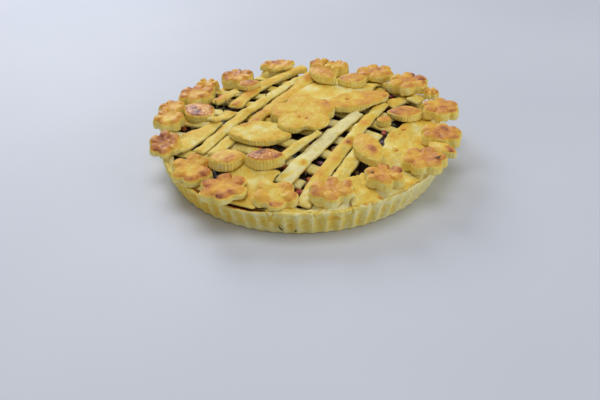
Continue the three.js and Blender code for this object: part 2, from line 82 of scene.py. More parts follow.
def grain(points, size, seed):
    """Smooth random values from -1 to 1 in space: each point blends, by smooth steps, the random numbers at
    the eight corners of its cell in a cubic lattice of the given pitch."""
    cell = np.floor(points / size)
    share = points / size - cell
    share = share * share * (3 - 2 * share)
    total = np.zeros(points.shape[:-1])
    for corner in np.indices((2, 2, 2)).reshape(3, -1).T:
        key = (cell.astype(np.int64) + corner) @ GRAIN_KEYS + seed * 7919
        key = (key ^ (key >> 13)) * 1274126177
        value = ((key ^ (key >> 16)) & 65535) / 32767.5 - 1
        total += value * np.prod(np.where(corner == 1, share, 1 - share), axis=-1)
    return total


def grains(points, seed, *layers):
    """A sum of grains, each given by its height and its size, with seeds that count up."""
    return sum(height * grain(points, size, seed + n) for n, (height, size) in enumerate(layers))


def step_up(values, low, high):
    """A smooth step: 0 below low, 1 above high, and 3t^2 - 2t^3 between them."""
    share = np.clip((values - low) / (high - low), 0, 1)
    return share * share * (3 - 2 * share)


def full_turn(steps):
    """So many even angles round a full turn."""
    return np.linspace(0, 2 * np.pi, steps, endpoint=False)


def put_object(name, data):
    """An object for a mesh, a light or a camera, put into the scene."""
    made = bpy.data.objects.new(name, data)
    bpy.context.collection.objects.link(made)
    return made


def put_piece(name, points, faces, finish, slot, node, **shares):
    """A smooth mesh object at the origin, from points in millimetres and lists of corner numbers, with one
    number for each point under each name in shares, that rides on the pie and stands for a node."""
    mesh = bpy.data.meshes.new(name)
    mesh.from_pydata((points * MM).tolist(), [], faces)
    for key, values in shares.items():
        mesh.attributes.new(key, "FLOAT", "POINT").data.foreach_set("value", values.astype(np.float32))
    mesh.shade_smooth()
    mesh.materials.append(finish)
    piece = put_object(name, mesh)
    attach(piece, "root")
    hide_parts(node)


def loft(grid, hoop=False, **shares):
    """A closed skin over a grid of rows of closed rings: four-sided faces between rings, and a fan from the
    mean point of the first and of the last ring, or faces between those two where the rows make a hoop.
    Returns points, faces and the shares, with the two poles where there are any."""
    rows, columns = grid.shape[:2]
    here = np.arange(rows * columns).reshape(rows, columns)
    after = np.roll(here, -1, axis=1)
    if hoop:
        quads = np.stack([here, after, np.roll(after, -1, axis=0), np.roll(here, -1, axis=0)], axis=-1)
        flat = {key: v.ravel() for key, v in shares.items()}
        return grid.reshape(-1, 3), quads.reshape(-1, 4).tolist(), flat
    points = np.concatenate([grid.reshape(-1, 3), grid[[0, -1]].mean(axis=1)])
    quads = np.stack([here[:-1], after[:-1], after[1:], here[1:]], axis=-1).reshape(-1, 4)
    first = np.stack([after[0], here[0], np.full(columns, rows * columns)], axis=-1)
    last = np.stack([here[-1], after[-1], np.full(columns, rows * columns + 1)], axis=-1)
    ends = {key: np.concatenate([v.ravel(), v[[0, -1]].mean(axis=1)]) for key, v in shares.items()}
    return points, quads.tolist() + first.tolist() + last.tolist(), ends


def put_skin(name, grid, finish, slot, node, hoop=False, **shares):
    """The piece that a grid of rings makes once it is closed, with its shares given on the grid."""
    points, faces, at_points = loft(grid, hoop, **shares)
    put_piece(name, points, faces, finish, slot, node, **at_points)


def linear(red, green, blue):
    """A colour given from 0 to 255 as on a screen, in the renderer's linear scale, with full cover."""
    screen = np.array([red, green, blue]) / 255
    return (*np.where(screen < 0.04045, screen / 12.92, ((screen + 0.055) / 1.055) ** 2.4), 1.0)


def add_node(tree, kind, sockets, **settings):
    """A shader node with its settings, whose sockets take a value or the output of another node."""
    made = tree.nodes.new(kind)
    for key, value in settings.items():
        setattr(made, key, value)
    for key, value in sockets.items():
        if isinstance(value, bpy.types.NodeSocket):
            tree.links.new(value, made.inputs[key])
        else:
            made.inputs[key].default_value = value
    return made


def add_ramp(tree, factor, stops):
    """A colour ramp through stops of place and colour."""
    ramp = add_node(tree, "ShaderNodeValToRGB", {"Fac": factor})
    elements = ramp.color_ramp.elements
    while len(elements) < len(stops):
        elements.new(0.5)
    for element, (place, colour) in zip(elements, stops):
        element.position = place
        element.color = colour
    return ramp.outputs["Color"]


def add_noise(tree, place, scale, detail):
    """Noise at a place, with so many cells to the metre and so many finer layers."""
    sockets = {"Vector": place, "Scale": scale, "Detail": detail}
    return add_node(tree, "ShaderNodeTexNoise", sockets).outputs["Fac"]


def new_finish(name):
    """A material whose nodes are cleared. Returns it, its node tree and its place in object coordinates."""
    finish = bpy.data.materials.new(name)
    finish.use_nodes = True
    tree = finish.node_tree
    tree.nodes.clear()
    return finish, tree, add_node(tree, "ShaderNodeTexCoord", {}).outputs["Object"]


def add_surface(tree, sockets):
    """The shader that ends a material, with its sockets."""
    body = add_node(tree, "ShaderNodeBsdfPrincipled", sockets)
    add_node(tree, "ShaderNodeOutputMaterial", {"Surface": body.outputs["BSDF"]})


CRUST_TONES = [
    (0.0, linear(242, 230, 170)),
    (0.1, linear(240, 219, 122)),
    (0.22, linear(236, 201, 80)),
    (0.42, linear(232, 177, 58)),
    (0.62, linear(217, 144, 62)),
    (0.82, linear(166, 90, 44)),
    (1.0, linear(74, 36, 22)),
]
MOTTLING = 0.36


def baked_finish(name, matte, glossy, bump, mirror=0.38):
    """Baked dough. A tone runs from pale through gold to dark brown by the piece's own browning, which on
    some pieces also holds painted light and shade, with mottling of two sizes, the roughness from matte to
    glossy by its glaze, and a crinkled and a sandy bump cover it."""
    finish, tree, place = new_finish(name)

    def add_share(values, share, base):
        """A base plus a share of the values."""
        sockets = {0: values, 1: share, 2: base}
        return add_node(tree, "ShaderNodeMath", sockets, operation="MULTIPLY_ADD").outputs[0]

    def add_bump(scale, detail, depth, **under):
        """A noisy bump of that depth over another normal, if one is given."""
        sockets = {"Height": add_noise(tree, place, scale, detail), "Strength": bump, "Distance": depth}
        return add_node(tree, "ShaderNodeBump", {**sockets, **under}).outputs["Normal"]

    brown = add_node(tree, "ShaderNodeAttribute", {}, attribute_name="brown").outputs["Fac"]
    glaze = add_node(tree, "ShaderNodeAttribute", {}, attribute_name="glaze").outputs["Fac"]
    mottle, speck = add_noise(tree, place, 240.0, 5.0), add_noise(tree, place, 800.0, 3.0)
    tone = add_share(speck, MOTTLING, add_share(mottle, MOTTLING, brown))
    level = add_node(tree, "ShaderNodeMath", {0: tone, 1: MOTTLING}, operation="SUBTRACT").outputs[0]
    rough = add_node(tree, "ShaderNodeMapRange", {
        "Value": add_share(speck, 0.3, glaze), "From Min": 0.15, "From Max": 1.15,
        "To Min": matte, "To Max": glossy}).outputs[0]
    crinkle = add_bump(430.0, 4.0, 0.0014)
    add_surface(tree, {
        "Base Color": add_ramp(tree, level, CRUST_TONES), "Roughness": rough, "Specular IOR Level": mirror,
        "Normal": add_bump(1300.0, 3.0, 0.0005, Normal=crinkle)})
    return finish


shortcrust = baked_finish("pale_shortcrust", 0.82, 0.5, 0.7)

# Rings of the case, each as its inset from the leaning wall and its height.
CASE_PROFILE = np.array([
    (100, 0), (60, 0), (20, 0), (4, 0), (1.2, 0), (0.4, 0.2), (0.05, 0.8),
    *[(0, z) for z in np.linspace(1.6, 23.4, 26)],
    (0.1, 24.2), (0.3, 24.9), (0.7, 25.5), (1.3, 25.9), (2.1, RIM_HEIGHT), (3.0, RIM_HEIGHT),
    (3.8, 25.7), (4.5, 25), (4.9, 23.5), (5, 16), (5, 8), (5.2, 4.4), (6.5, 4), (40, 4), (100, 4),
])
# Cracks of the wall, each as its bearing, its lower and upper end, its bow in degrees and its depth.
WALL_CRACKS = [
    (256.3, 13, 26, 1.1, 1.3), (258.8, 15, 24, -0.9, 0.8), (274, 21, 27, -0.8, 1.2),
    (286.5, 20, 27, 0.5, 1.2), (293.5, 22, 27, 1.4, 1.3), (312, 22, 27, 0.4, 0.8),
    (331, 20, 27, -0.5, 0.9), (228, 22, 27, 0.5, 0.8), (18, 20, 27, 0.6, 1.0), (93, 19, 27, -0.6, 1.0),
    (141, 21, 27, 0.5, 0.9), (61, 22, 27, 0.4, 0.8), (183, 21, 27, -0.4, 0.9),
]


def case_skin():
    """The case's skin: rings from the middle of the foot, up the fluted wall, over the rim and down the
    inside to the floor. A ring's radius is the leaning wall's less an inset, plus the depth of the flutes at
    its height times a scoop, which is a parabola between two rounded ridges. The rim sags as the solid's
    does, and rises and falls with the grain, most in front. A crack is a groove along a bent line. Returns
    the grid, its browning with painted light and shade in it, and its glaze."""
    corners = node_triangles("crust_case").reshape(-1, 3)
    out = np.hypot(corners[:, 0], corners[:, 1])
    foot_ring = out[(corners[:, 2] < 0.01) & (out > FLOOR_RADIUS)]
    beyond_foot = out > foot_ring.max() + 1
    flute_height = corners[beyond_foot, 2].min()
    wall_ring = out[beyond_foot & (np.abs(corners[:, 2] - flute_height) < 0.1)]
    foot, wall = (foot_ring.min() + foot_ring.max()) / 2, (wall_ring.min() + wall_ring.max()) / 2
    rim = corners[(out > RIM_RADIUS) & (corners[:, 2] > flute_height + 2)]
    rim_angle = np.arctan2(rim[:, 1], rim[:, 0])
    order = np.argsort(rim_angle)
    inset, height = CASE_PROFILE[:, :1], CASE_PROFILE[:, 1:]
    angle = full_turn(FLUTES * FLUTE_STEPS)[None, :]

    def near(bearing, spread):
        """A bell curve of the bearing."""
        return np.exp(-((np.degrees(angle) - bearing) / spread) ** 2)

    def along_wall(bearing):
        """Millimetres along the wall from a bearing."""
        return (np.mod(angle - np.radians(bearing) + np.pi, 2 * np.pi) - np.pi) * wall

    lean = foot + (wall - foot) * height / flute_height - inset
    ring = np.stack(np.broadcast_arrays(lean * np.cos(angle), lean * np.sin(angle), height), axis=-1)
    turn = FLUTES * angle / (2 * np.pi) + 0.12 * grain(ring, 40, 2)
    from_ridge = np.abs(np.mod(turn, 1) - 0.5)
    from_ridge = np.hypot(from_ridge, RIDGE_ROUND) - RIDGE_ROUND
    scoop = 4 * (0.5 - from_ridge) ** 2 - 0.5
    depth = np.ptp(foot_ring) + (np.ptp(wall_ring) - np.ptp(foot_ring)) * step_up(height, 0, 12)
    depth = depth + (RIM_DEPTH - depth) * step_up(height, 18, 24.5)
    outside = (inset < 4.2) & (height > 0.1)
    radius = lean + depth * scoop * (inset < 2.5)
    front = near(FRONT_BEARING, 30)
    near_rim = step_up(height, 22, 25.5) * (inset < 4.6)
    bumps = grains(ring, 3, (0.4, 17), (0.3, 6), (0.18, 2.6))
    bumps = bumps + near_rim * (0.4 + front) * grains(ring, 6, (0.5, 7), (0.4, 2.8))
    radius = radius + outside * step_up(height, 0.0, 3.0) * bumps
    ragged = (0.45 + 0.9 * front) * grains(ring, 8, (0.7, 9), (0.6, 3.4))
    rise = np.interp(angle, rim_angle[order], rim[order, 2], period=2 * np.pi) - RIM_HEIGHT
    tall = height + near_rim * (ragged + rise)
    # The cracks are painted darker along their grooves: painted shade in them.
    dark = np.zeros_like(radius)
    wander = 0.6 * grain(ring, 3, 10)
    for bearing, low, high, bow, crack in WALL_CRACKS:
        share_up = np.clip((height - low) / (high - low), 0, 1)
        off = along_wall(bearing + bow * np.sin(np.pi * share_up)) + wander
        groove = np.exp(-(off / GROOVE_WIDTH) ** 2) * ((height >= low) & outside)
        radius = radius - crack * groove
        dark = np.maximum(dark, groove)
    slant = along_wall(DRIP_BEARING) + 0.35 * (height - 20)
    drip = np.exp(-(slant / 5.5) ** 2 - ((height - DRIP_HEIGHT) / 3.0) ** 2)
    drip = np.clip(1.2 * drip + 0.6 * grain(ring, 2.8, 11) * (drip > 0.12), 0, 1) * outside
    radius = radius + 0.5 * drip
    skin = np.stack([radius * np.cos(angle), radius * np.sin(angle), tall], axis=-1)
    # The scoops are made darker than the ridges: partly browning where the tin pressed, partly painted shade
    # in the hollows.
    contact_and_scoop_shade = np.clip(0.35 - scoop, 0, 1) * step_up(height, 2, 7) * (1 - step_up(height, 17, 22))
    # Painted light and shade: the right of the wall is painted paler, where more light falls on it, and the
    # left of the front a deeper gold, for the shade there.
    pale, gold = 0.13 * near(328, 24), 0.09 * near(222, 18)
    brown = 0.04 - pale + gold + 0.05 * grain(ring, 24, 12) + 0.05 * grain(ring, 6, 14) + 0.17 * contact_and_scoop_shade
    brown = brown + 0.1 * step_up(3.0 - height, 0, 3) + 0.12 * near_rim * front * (0.4 + grain(ring, 6, 13))
    # The inside of the case is made darker, and where the rim sags its inner top is painted dark: painted
    # shade of the gap under the lid.
    dark_inside_and_gap_shade = 0.75 * step_up(inset, 4.0, 4.8) + 0.7 * step_up(-rise, 0.8, 1.8) * step_up(inset, 1.8, 2.8)
    return skin, np.clip(brown + 0.3 * dark + 0.22 * drip + dark_inside_and_gap_shade, 0, 1), 0.8 * drip


skin, brown, glaze = case_skin()
put_skin("fluted_case", skin, shortcrust, "crust", "crust_case", brown=brown, glaze=glaze)


# The filling is a heap of cooked vegetables, cut small and bound in their own juice. It shows only in the
# openings of the lid: orange squash, red pepper, purple onion, dark greens and a few needles of rosemary.
FILL_RINGS = 110
FILL_STEPS = 360
FILL_EDGE = 131.0
LOOSE_RADIUS = 122
BOX_POWER = 0.55
WINDOW_SPREAD = 4.0
NEEDLE_WIDTH = 1.5


def fitted_dome(corners):
    """The smooth dome under the chunks: height as a constant, a share of the squared radius and a share of
    y, fitted to the upper corners four times, each time without those that stand out of it."""
    upper = corners[corners[:, 2] > corners[:, 2].max() * 0.4]
    kept = np.full(len(upper), True)
    terms = np.stack([np.ones(len(upper)), (upper[:, :2] ** 2).sum(axis=1), upper[:, 1]], axis=1)
    for _ in range(4):
        dome = np.linalg.lstsq(terms[kept], upper[kept, 2], rcond=None)[0]
        kept = np.abs(terms @ dome - upper[:, 2]) < 1.0
    return dome


fill_corners = node_triangles("filling").reshape(-1, 3)
fill_foot = fill_corners[:, 2].min()
fill_dome = fitted_dome(fill_corners)


def dome_height(x, y):
    """The fitted dome's height over plan points."""
    return fill_dome[0] + fill_dome[1] * (x * x + y * y) + fill_dome[2] * y


def fill_skin():
    """The bed of the filling: a disc of rings whose height is the fitted dome's, sunk a little and broken by
    lumps of three sizes, closed by a flat under side."""
    angle = full_turn(FILL_STEPS)[None, :]
    radius = np.concatenate([[40, 90, 124, 124.2], FILL_EDGE * np.linspace(1, 0.004, FILL_RINGS)])[:, None]
    x, y = radius * np.cos(angle), radius * np.sin(angle)
    flat = np.stack([x, y, np.zeros_like(x)], axis=-1)
    lumps = 1.1 * np.abs(grain(flat, 8, 21)) + 0.8 * np.abs(grain(flat, 4, 22)) + 0.4 * grain(flat, 1.8, 23)
    height = dome_height(x, y) - 1.6 + lumps
    height[:3] = fill_foot
    height[3] = fill_foot + 1
    return np.stack([x, y, height], axis=-1)


def moist_finish(name, stops, scale, rough):
    """Moist cooked vegetable: a ramp of tones by noise, with a fine bump under a wet sheen."""
    finish, tree, place = new_finish(name)
    cloud, fibre = add_noise(tree, place, scale, 4.0), add_noise(tree, place, 900.0, 3.0)
    wet = add_node(tree, "ShaderNodeMapRange", {
        "Value": fibre, "From Min": 0.3, "From Max": 0.7, "To Min": rough, "To Max": rough + 0.25})
    relief = add_node(tree, "ShaderNodeBump", {"Height": fibre, "Strength": 0.4, "Distance": 0.0006})
    add_surface(tree, {
        "Base Color": add_ramp(tree, cloud, stops), "Roughness": wet.outputs[0],
        "Normal": relief.outputs["Normal"]})
    return finish


# The bed under the chunks is nearly black: partly the dark juice, partly painted shade deep in the openings
# of the lid.
stew = moist_finish("stewed_bed_and_painted_shade", [
    (0.3, linear(20, 12, 8)), (0.45, linear(50, 28, 16)), (0.55, linear(34, 22, 14)),
    (0.7, linear(84, 46, 22))], 90.0, 0.4)
put_skin("vegetable_bed", fill_skin(), stew, "vegetables", "filling")


def repeated(faces, each, count):
    """The faces of a heap of like things, each with so many points."""
    return [[corner + each * n for corner in face] for n in range(count) for face in faces]


def chunk_heap(places, size, seed):
    """Cut pieces of vegetable: one rounded box, a ball whose coordinates are raised to a power below one, is
    stretched, turned and set down at each place, half sunk in the bed. Returns points and faces."""
    random = np.random.default_rng(seed)
    count = len(places)
    down = np.linspace(0.25, np.pi - 0.25, 6)[:, None]
    turn = full_turn(8)[None, :]
    ball = np.stack(np.broadcast_arrays(np.sin(down) * np.cos(turn), np.sin(down) * np.sin(turn),
                                        -np.cos(down)), axis=-1)
    unit, faces, _ = loft(np.sign(ball) * np.abs(ball) ** BOX_POWER)
    stretch = size * random.uniform(0.7, 1.25, (count, 1, 3)) * np.array([1.0, 0.75, 0.6]) / 2
    rough = 1 + 0.12 * random.standard_normal((count, len(unit), 1))
    turn, tip = random.uniform(0, np.pi, count), random.uniform(-0.5, 0.5, count)
    none, full = np.zeros(count), np.ones(count)
    spin = [[np.cos(turn), -np.sin(turn), none], [np.sin(turn), np.cos(turn), none], [none, none, full]]
    roll = [[full, none, none], [none, np.cos(tip), -np.sin(tip)], [none, np.sin(tip), np.cos(tip)]]
    turned = np.einsum("ijn,jkn,nvk->nvi", spin, roll, unit * stretch * rough)
    base = np.column_stack([places, dome_height(*places.T) + 0.1 + random.uniform(-0.4, 0.9, count)])
    return (turned + base[:, None]).reshape(-1, 3), repeated(faces, len(unit), count)


def scatter(windows, each, loose, seed):
    """Places for chunks: a few round each window of the lid, and loose ones anywhere on the bed."""
    random = np.random.default_rng(seed)
    near = np.repeat(np.array(windows, dtype=float), each, axis=0)
    near = near + random.normal(0, WINDOW_SPREAD, near.shape)
    angle = random.uniform(0, 2 * np.pi, loose)
    out = LOOSE_RADIUS * np.sqrt(random.uniform(0, 1, loose))
    return np.concatenate([near, np.column_stack([out * np.cos(angle), out * np.sin(angle)])])


# Each kind has the windows where it shows, its pieces at each, its loose pieces, its size and its tones.
FILL_KINDS = {
    "squash_cubes": (
        [(-27, 11), (-21, 57), (-14, -78), (-98, -50), (-78, -85), (-33, 20), (-15, 64)], 4, 70, 7.5,
        [(0.3, linear(150, 62, 26)), (0.5, linear(196, 96, 44)), (0.7, linear(214, 124, 70))]),
    "pepper_strips": (
        [(-7, -112), (-28, -104), (-6, -106), (106, 34), (53, -20)], 5, 30, 7.0,
        [(0.3, linear(140, 40, 30)), (0.5, linear(190, 76, 62)), (0.7, linear(214, 130, 112))]),
    "onion_slivers": (
        [(41, -31), (61, -31), (28, -57), (66, -28), (12, -48), (57, -1)], 4, 60, 7.0,
        [(0.3, linear(52, 24, 40)), (0.5, linear(96, 50, 70)), (0.7, linear(150, 104, 116))]),
    "dark_greens": (
        [(75, -35), (80, -30), (70, -40), (88, -13), (15, -78), (-65, -54), (-45, -12), (35, -103)],
        5, 60, 7.0,
        [(0.3, linear(20, 24, 14)), (0.5, linear(44, 50, 24)), (0.7, linear(74, 78, 36))]),
    "mushroom_bits": (
        [(73, 69), (49, -89), (4, -95), (-103, -5), (-84, -20), (-7, 41), (10, 73)], 4, 60, 7.0,
        [(0.3, linear(66, 44, 26)), (0.5, linear(110, 78, 44)), (0.7, linear(156, 120, 70))]),
}
for seed, (kind, (windows, each, loose, size, tones)) in enumerate(FILL_KINDS.items()):
    points, faces = chunk_heap(scatter(windows, each, loose, 40 + seed), size, 50 + seed)
    cooked = moist_finish("cooked_" + kind, tones, 160.0, 0.3)
    put_piece(kind, points, faces, cooked, "vegetables", "filling")


def needle_heap(stems):
    """Needles of rosemary: each runs from its root to its tip in a slight bow, as rings of six points whose
    radius swells from the root and tapers to the tip. Returns points and faces."""
    root, tip = np.array(stems, dtype=float).reshape(-1, 2, 3).transpose(1, 0, 2)
    run = tip - root
    length = np.linalg.norm(run, axis=1)[:, None]
    ahead = run / length
    side = np.cross(ahead, (0.31, 0.2, 0.93))
    side = side / np.linalg.norm(side, axis=1)[:, None]
    over = np.cross(ahead, side)
    along = np.linspace(0, 1, 8)[:, None]
    path = root[:, None] + run[:, None] * along + (0.1 * length * over)[:, None] * np.sin(np.pi * along)
    radius = NEEDLE_WIDTH / 2 * np.sin(np.pi * (0.1 + 0.88 * along)) ** 0.7
    turn = full_turn(6)[:, None]
    ring = side[:, None] * np.cos(turn) + over[:, None] * np.sin(turn)
    rods = path[:, :, None] + radius[:, None] * ring[:, None]
    faces = loft(rods[0])[1]
    points = np.stack([loft(rod)[0] for rod in rods])
    return points.reshape(-1, 3), repeated(faces, points.shape[1], len(rods))


# Sprigs stand in the bed, by their root in plan and their tip. Of the loose needles two lie on flowers and
# two cling to the wall.
SPRIGS = [
    ((-85, 42), (-77.5, 43.4, 46)), ((-86, 38), (-92, 44, 39)), ((-83, 41), (-89, 48, 42)),
    ((-82, 39), (-79, 34, 40)), ((-76, 47), (-66, 43, 38)), ((-75, 44), (-70, 52, 38)),
    ((-72, 38), (-64, 34, 37)), ((-73, 41), (-67, 39, 40)), ((-39, 46), (-36.4, 53, 47)),
    ((-40, 45), (-33, 41, 41)), ((-66, 24), (-61, 29, 37)),
]
LOOSE_NEEDLES = [
    ((116.8, -80, 42.4), (121.6, -74.5, 42.6)), ((57.4, -101, 42.5), (60, -102.2, 42.8)),
    ((-22.2, -133.2, 11.5), (-18.6, -131.4, 5)), ((-8.6, -131.9, 5), (-7.6, -131.4, 3.4)),
]
stems = [((x, y, dome_height(x, y) - 1), tip) for (x, y), tip in SPRIGS]
points, faces = needle_heap(stems + LOOSE_NEEDLES)
rosemary = moist_finish("dark_rosemary", [
    (0.3, linear(22, 30, 16)), (0.5, linear(46, 62, 36)), (0.7, linear(84, 98, 66))], 300.0, 0.45)
put_piece("rosemary_needles", points, faces, rosemary, "vegetables", "filling")


# The lower strips are the first layer of the lattice: plain rolled dough cut with a knife, laid side by side
# over the filling and baked pale, since the upper layer and the leaves cover most of them.
LOWER_STRIPS = 8
STRIP_ROW = 1.3
STRIP_POINTS = 9
EDGE_ROUND = 2.3
FACING = 0.2


def facing_up(triangles):
    """The upward part of each triangle's unit normal."""
    across = np.cross(triangles[:, 1] - triangles[:, 0], triangles[:, 2] - triangles[:, 0])
    return across[:, 2] / np.maximum(np.linalg.norm(across, axis=1), 1e-9)


def height_on(triangles, x, y, pick):
    """Heights of triangles over plan points. A point takes the height, picked by maximum or minimum, of the
    triangles that hold it in plan, and beside them all that of the nearest corner."""
    (ax, ay, az), (bx, by, bz), (cx, cy, cz) = (triangles[:, i].T for i in range(3))
    area = (bx - ax) * (cy - ay) - (cx - ax) * (by - ay)
    area = np.where(np.abs(area) < 1e-6, 1e-6, area)
    px, py = x.reshape(-1, 1), y.reshape(-1, 1)
    to_b = ((px - ax) * (cy - ay) - (cx - ax) * (py - ay)) / area
    to_c = ((bx - ax) * (py - ay) - (px - ax) * (by - ay)) / area
    inside = (to_b > -1e-4) & (to_c > -1e-4) & (to_b + to_c < 1.0001)
    height = az + to_b * (bz - az) + to_c * (cz - az)
    none = -np.inf if pick is np.max else np.inf
    found = pick(np.where(inside, height, none), axis=1)
    corners = triangles.reshape(-1, 3)
    gap = (px - corners[:, 0]) ** 2 + (py - corners[:, 1]) ** 2
    return np.where(np.isfinite(found), found, corners[gap.argmin(axis=1), 2]).reshape(x.shape)


def soften(values, times):
    """Values along the first axis, smoothed by the weights 1, 2, 1 that many times, its ends repeated."""
    for _ in range(times):
        padded = np.concatenate([values[:1], values, values[-1:]])
        values = (padded[:-2] + 2 * padded[1:-1] + padded[2:]) / 4
    return values


def spot_sum(points, spots):
    """A sum of round spots: each adds its strength times a bell curve of its radius round its plan point."""
    total = np.zeros(points.shape[:-1])
    for x, y, radius, strength in spots:
        away = (points[..., 0] - x) ** 2 + (points[..., 1] - y) ** 2
        total = total + strength * np.exp(-away / radius ** 2)
    return total


def under_side(triangles):
    """The triangles of a solid that face down."""
    return triangles[facing_up(triangles) < -FACING]


def solid_heights(triangles):
    """Two functions of plan points: the height of a solid's upper side and that of its under side."""
    over, under = triangles[facing_up(triangles) > FACING], under_side(triangles)
    return lambda x, y: height_on(over, x, y, np.max), lambda x, y: height_on(under, x, y, np.min)


def slab_skin(left, right, heights, flat_points, seed, bulge=1.0, hoop=False):
    """A slab of rolled dough between a left and a right edge in plan. Each row is a rounded rectangle:
    straight runs above and below, and quarter circles at the corners. Unless the rows make a hoop, the two
    heights are softened along them, and the first and last are drawn in to round the ends. The top bulges in
    its middle, and lumps of three sizes roughen it. Returns the grid and its share of height."""
    run, one = np.linspace(-1, 1, flat_points), np.ones(3)
    bend = np.linspace(0, np.pi / 2, 5)[1:-1]
    sine, cosine = np.sin(bend), np.cos(bend)
    over = np.concatenate([run, one, one, -run, -one, -one])
    turn_out = np.concatenate([0 * run, sine, cosine, 0 * run, -sine, -cosine])
    rise = np.concatenate([0 * run + 1, one, -one, 0 * run - 1, -one, one])
    turn_up = np.concatenate([0 * run + 1, cosine, -sine, 0 * run - 1, -cosine, sine])
    rows = len(left)
    from_end = np.minimum(np.arange(rows), np.arange(rows)[::-1])
    drawn = np.sqrt(1 - (1 - np.clip((from_end + 0.15) / 3, 0, 1)) ** 2)[:, None] ** (not hoop)
    middle, half = (left + right) / 2, (right - left) / 2
    wide = np.linalg.norm(half, axis=1)[:, None]
    out = half / np.maximum(wide, 1e-6)
    narrow = 1 - 0.12 * (1 - drawn)
    across = (over * np.maximum(wide - EDGE_ROUND, 0.1) + turn_out * EDGE_ROUND) * narrow
    plan = middle[:, None] + out[:, None] * across[..., None]
    top, under = (soften(height(plan[..., 0], plan[..., 1]), 10 * (not hoop)) for height in heights)
    thick = (top - under) / 2
    level = (rise * np.maximum(thick - EDGE_ROUND, 0.1) + turn_up * np.minimum(thick, EDGE_ROUND)) * drawn
    height = (top + under) / 2 + level
    share = 0.5 + level / (2 * thick)
    skin = np.concatenate([plan, height[..., None]], axis=-1)
    lumps = grains(skin, seed, (0.5, 10), (0.32, 4.5), (0.16, 2.2))
    skin[..., 2] += step_up(share, 0.6, 1.0) * drawn * (lumps + bulge * (0.6 - over ** 2))
    return skin, share


def triangle_sides(triangles):
    """The start of each side of the triangles in plan, and the side's run from there."""
    start = triangles[..., :2].reshape(-1, 2)
    return start, np.roll(triangles, -1, axis=1)[..., :2].reshape(-1, 2) - start


def at_zero(plan):
    """Plan points, at height zero."""
    return np.concatenate([plan, 0 * plan[:, :1]], axis=1)


def strip_edges(node, seed, front=1.0, back=1.0, reach=(0, 0), slant=0):
    """The two edges of a strip in plan, front to back, and its heights. Lines across its main direction meet
    the sides of the solid's triangles, and the outermost crossings on both hands make the edges, which waver
    by the grain. front and back are the strip's width at its ends, as shares, and reach is how far each end
    runs on, towards what lies over it. The slant is the number of rows left out in front, where the solid's
    end is cut askew."""
    triangles = node_triangles(node)
    start, side = triangle_sides(triangles)
    plan = np.unique(start.round(2), axis=0)
    ahead = np.linalg.svd(plan - plan.mean(axis=0))[2][0]
    ahead = ahead * np.sign(ahead @ np.array([0.4, 1.0]))
    aside = np.array([ahead[1], -ahead[0]])
    far, run = start @ ahead, side @ ahead
    rows = max(8, int(np.ptp(far) / STRIP_ROW))
    station = np.linspace(far.min() + 0.4, far.max() - 0.4, rows)[:, None]
    share = (station - far) / np.where(np.abs(run) < 1e-6, 1e-6, run)
    off = start @ aside + share * (side @ aside)
    meets = (share >= 0) & (share <= 1)
    hands = np.where(meets, off, 1e6).min(axis=1), np.where(meets, off, -1e6).max(axis=1)
    edges = [(station * ahead + soften(hand[:, None], 2) * aside)[slant:] for hand in hands]
    middle = (edges[0] + edges[1]) / 2
    before, after = (np.arange(int(way / STRIP_ROW)).reshape(-1, 1) + 1 for way in reach)
    back_step, on_step = (middle[3] - middle[7]) / 4, (middle[-4] - middle[-8]) / 4
    edges = [np.concatenate([edge[:1] + before[::-1] * back_step, edge, edge[-1:] + after * on_step])
             for edge in edges]
    rows = len(edges[0])
    centre, half = (edges[0] + edges[1]) / 2, (edges[1] - edges[0]) / 2
    out = half / np.linalg.norm(half, axis=1)[:, None]
    line = at_zero(centre)
    sway = 0.6 * grain(line, 23, seed)
    width = half * np.linspace(front, back, rows)[:, None]
    left, right = (out * (sway + grains(line, seed + n, (0.55, 9), (0.35, 4)))[:, None] for n in (5, 9))
    return centre - width + left, centre + width + right, solid_heights(triangles)


def strip_brown(skin, share, amount, spots, seed):
    """Browning of rolled dough: pale sides and under side, and a top that takes on an amount with clouds of
    the grain and the browned spots. Returns it and the glaze."""
    crown = step_up(share, 0.7, 0.97)
    cloud = grains(skin, seed + 11, (0.16, 14), (0.1, 5))
    spot = spot_sum(skin, spots) * (0.85 + 0.5 * grain(skin, 4, seed + 13))
    brown = 0.08 + 0.05 * grain(skin, 8, seed + 14) + crown * (amount + cloud + spot)
    return np.clip(brown, 0, 0.95), np.clip(crown * (0.25 + 0.6 * amount + 0.5 * spot), 0, 1)


satin_dough = baked_finish("satin_baked_dough", 0.72, 0.36, 0.8)


def put_strip(name, node, seed, amount, spots, *ends):
    """A strip's piece, from its solid's edges, with the browning and the forms of its ends."""
    left, right, heights = strip_edges(node, seed, *ends)
    skin, share = slab_skin(left, right, heights, STRIP_POINTS, seed + 20)
    brown, glaze = strip_brown(skin, share, amount, spots, seed + 40)
    put_skin(name, skin, satin_dough, "dough", node, brown=brown, glaze=glaze)


for n in range(1, LOWER_STRIPS + 1):
    put_strip(f"rung_{n}", f"lower_strip_{n}", 100 + n, 0.03, [])


# The lid's dough was pressed down along the inside of the rim, so a ragged fold of it runs round under the
# flowers, widest in front, and closes the pie between the rim and the lattice.
FOLD_STEPS = 540
FOLD_LINE = 130
FOLD_RADIUS = 136.3
SLOPE_START = 136
SLOPE_RUN = 12
FOLD_WIDTH = 8.5
FOLD_TOP = 26.3
FOLD_THICK = 3.4
DARKEST = 0.97
BORDER_FLOWERS = 20


def fold_gap(x, y):
    """How open the fold is, from 0 to 1: on the left of the front it shrank away from the rim."""
    bearing = np.mod(np.degrees(np.arctan2(y, x)), 360)
    return step_up(bearing, 220, 228) * (1 - step_up(bearing, 253, 258))


def rays(angle):
    """Unit steps in plan at each angle."""
    return np.stack([np.cos(angle), np.sin(angle)], axis=1)


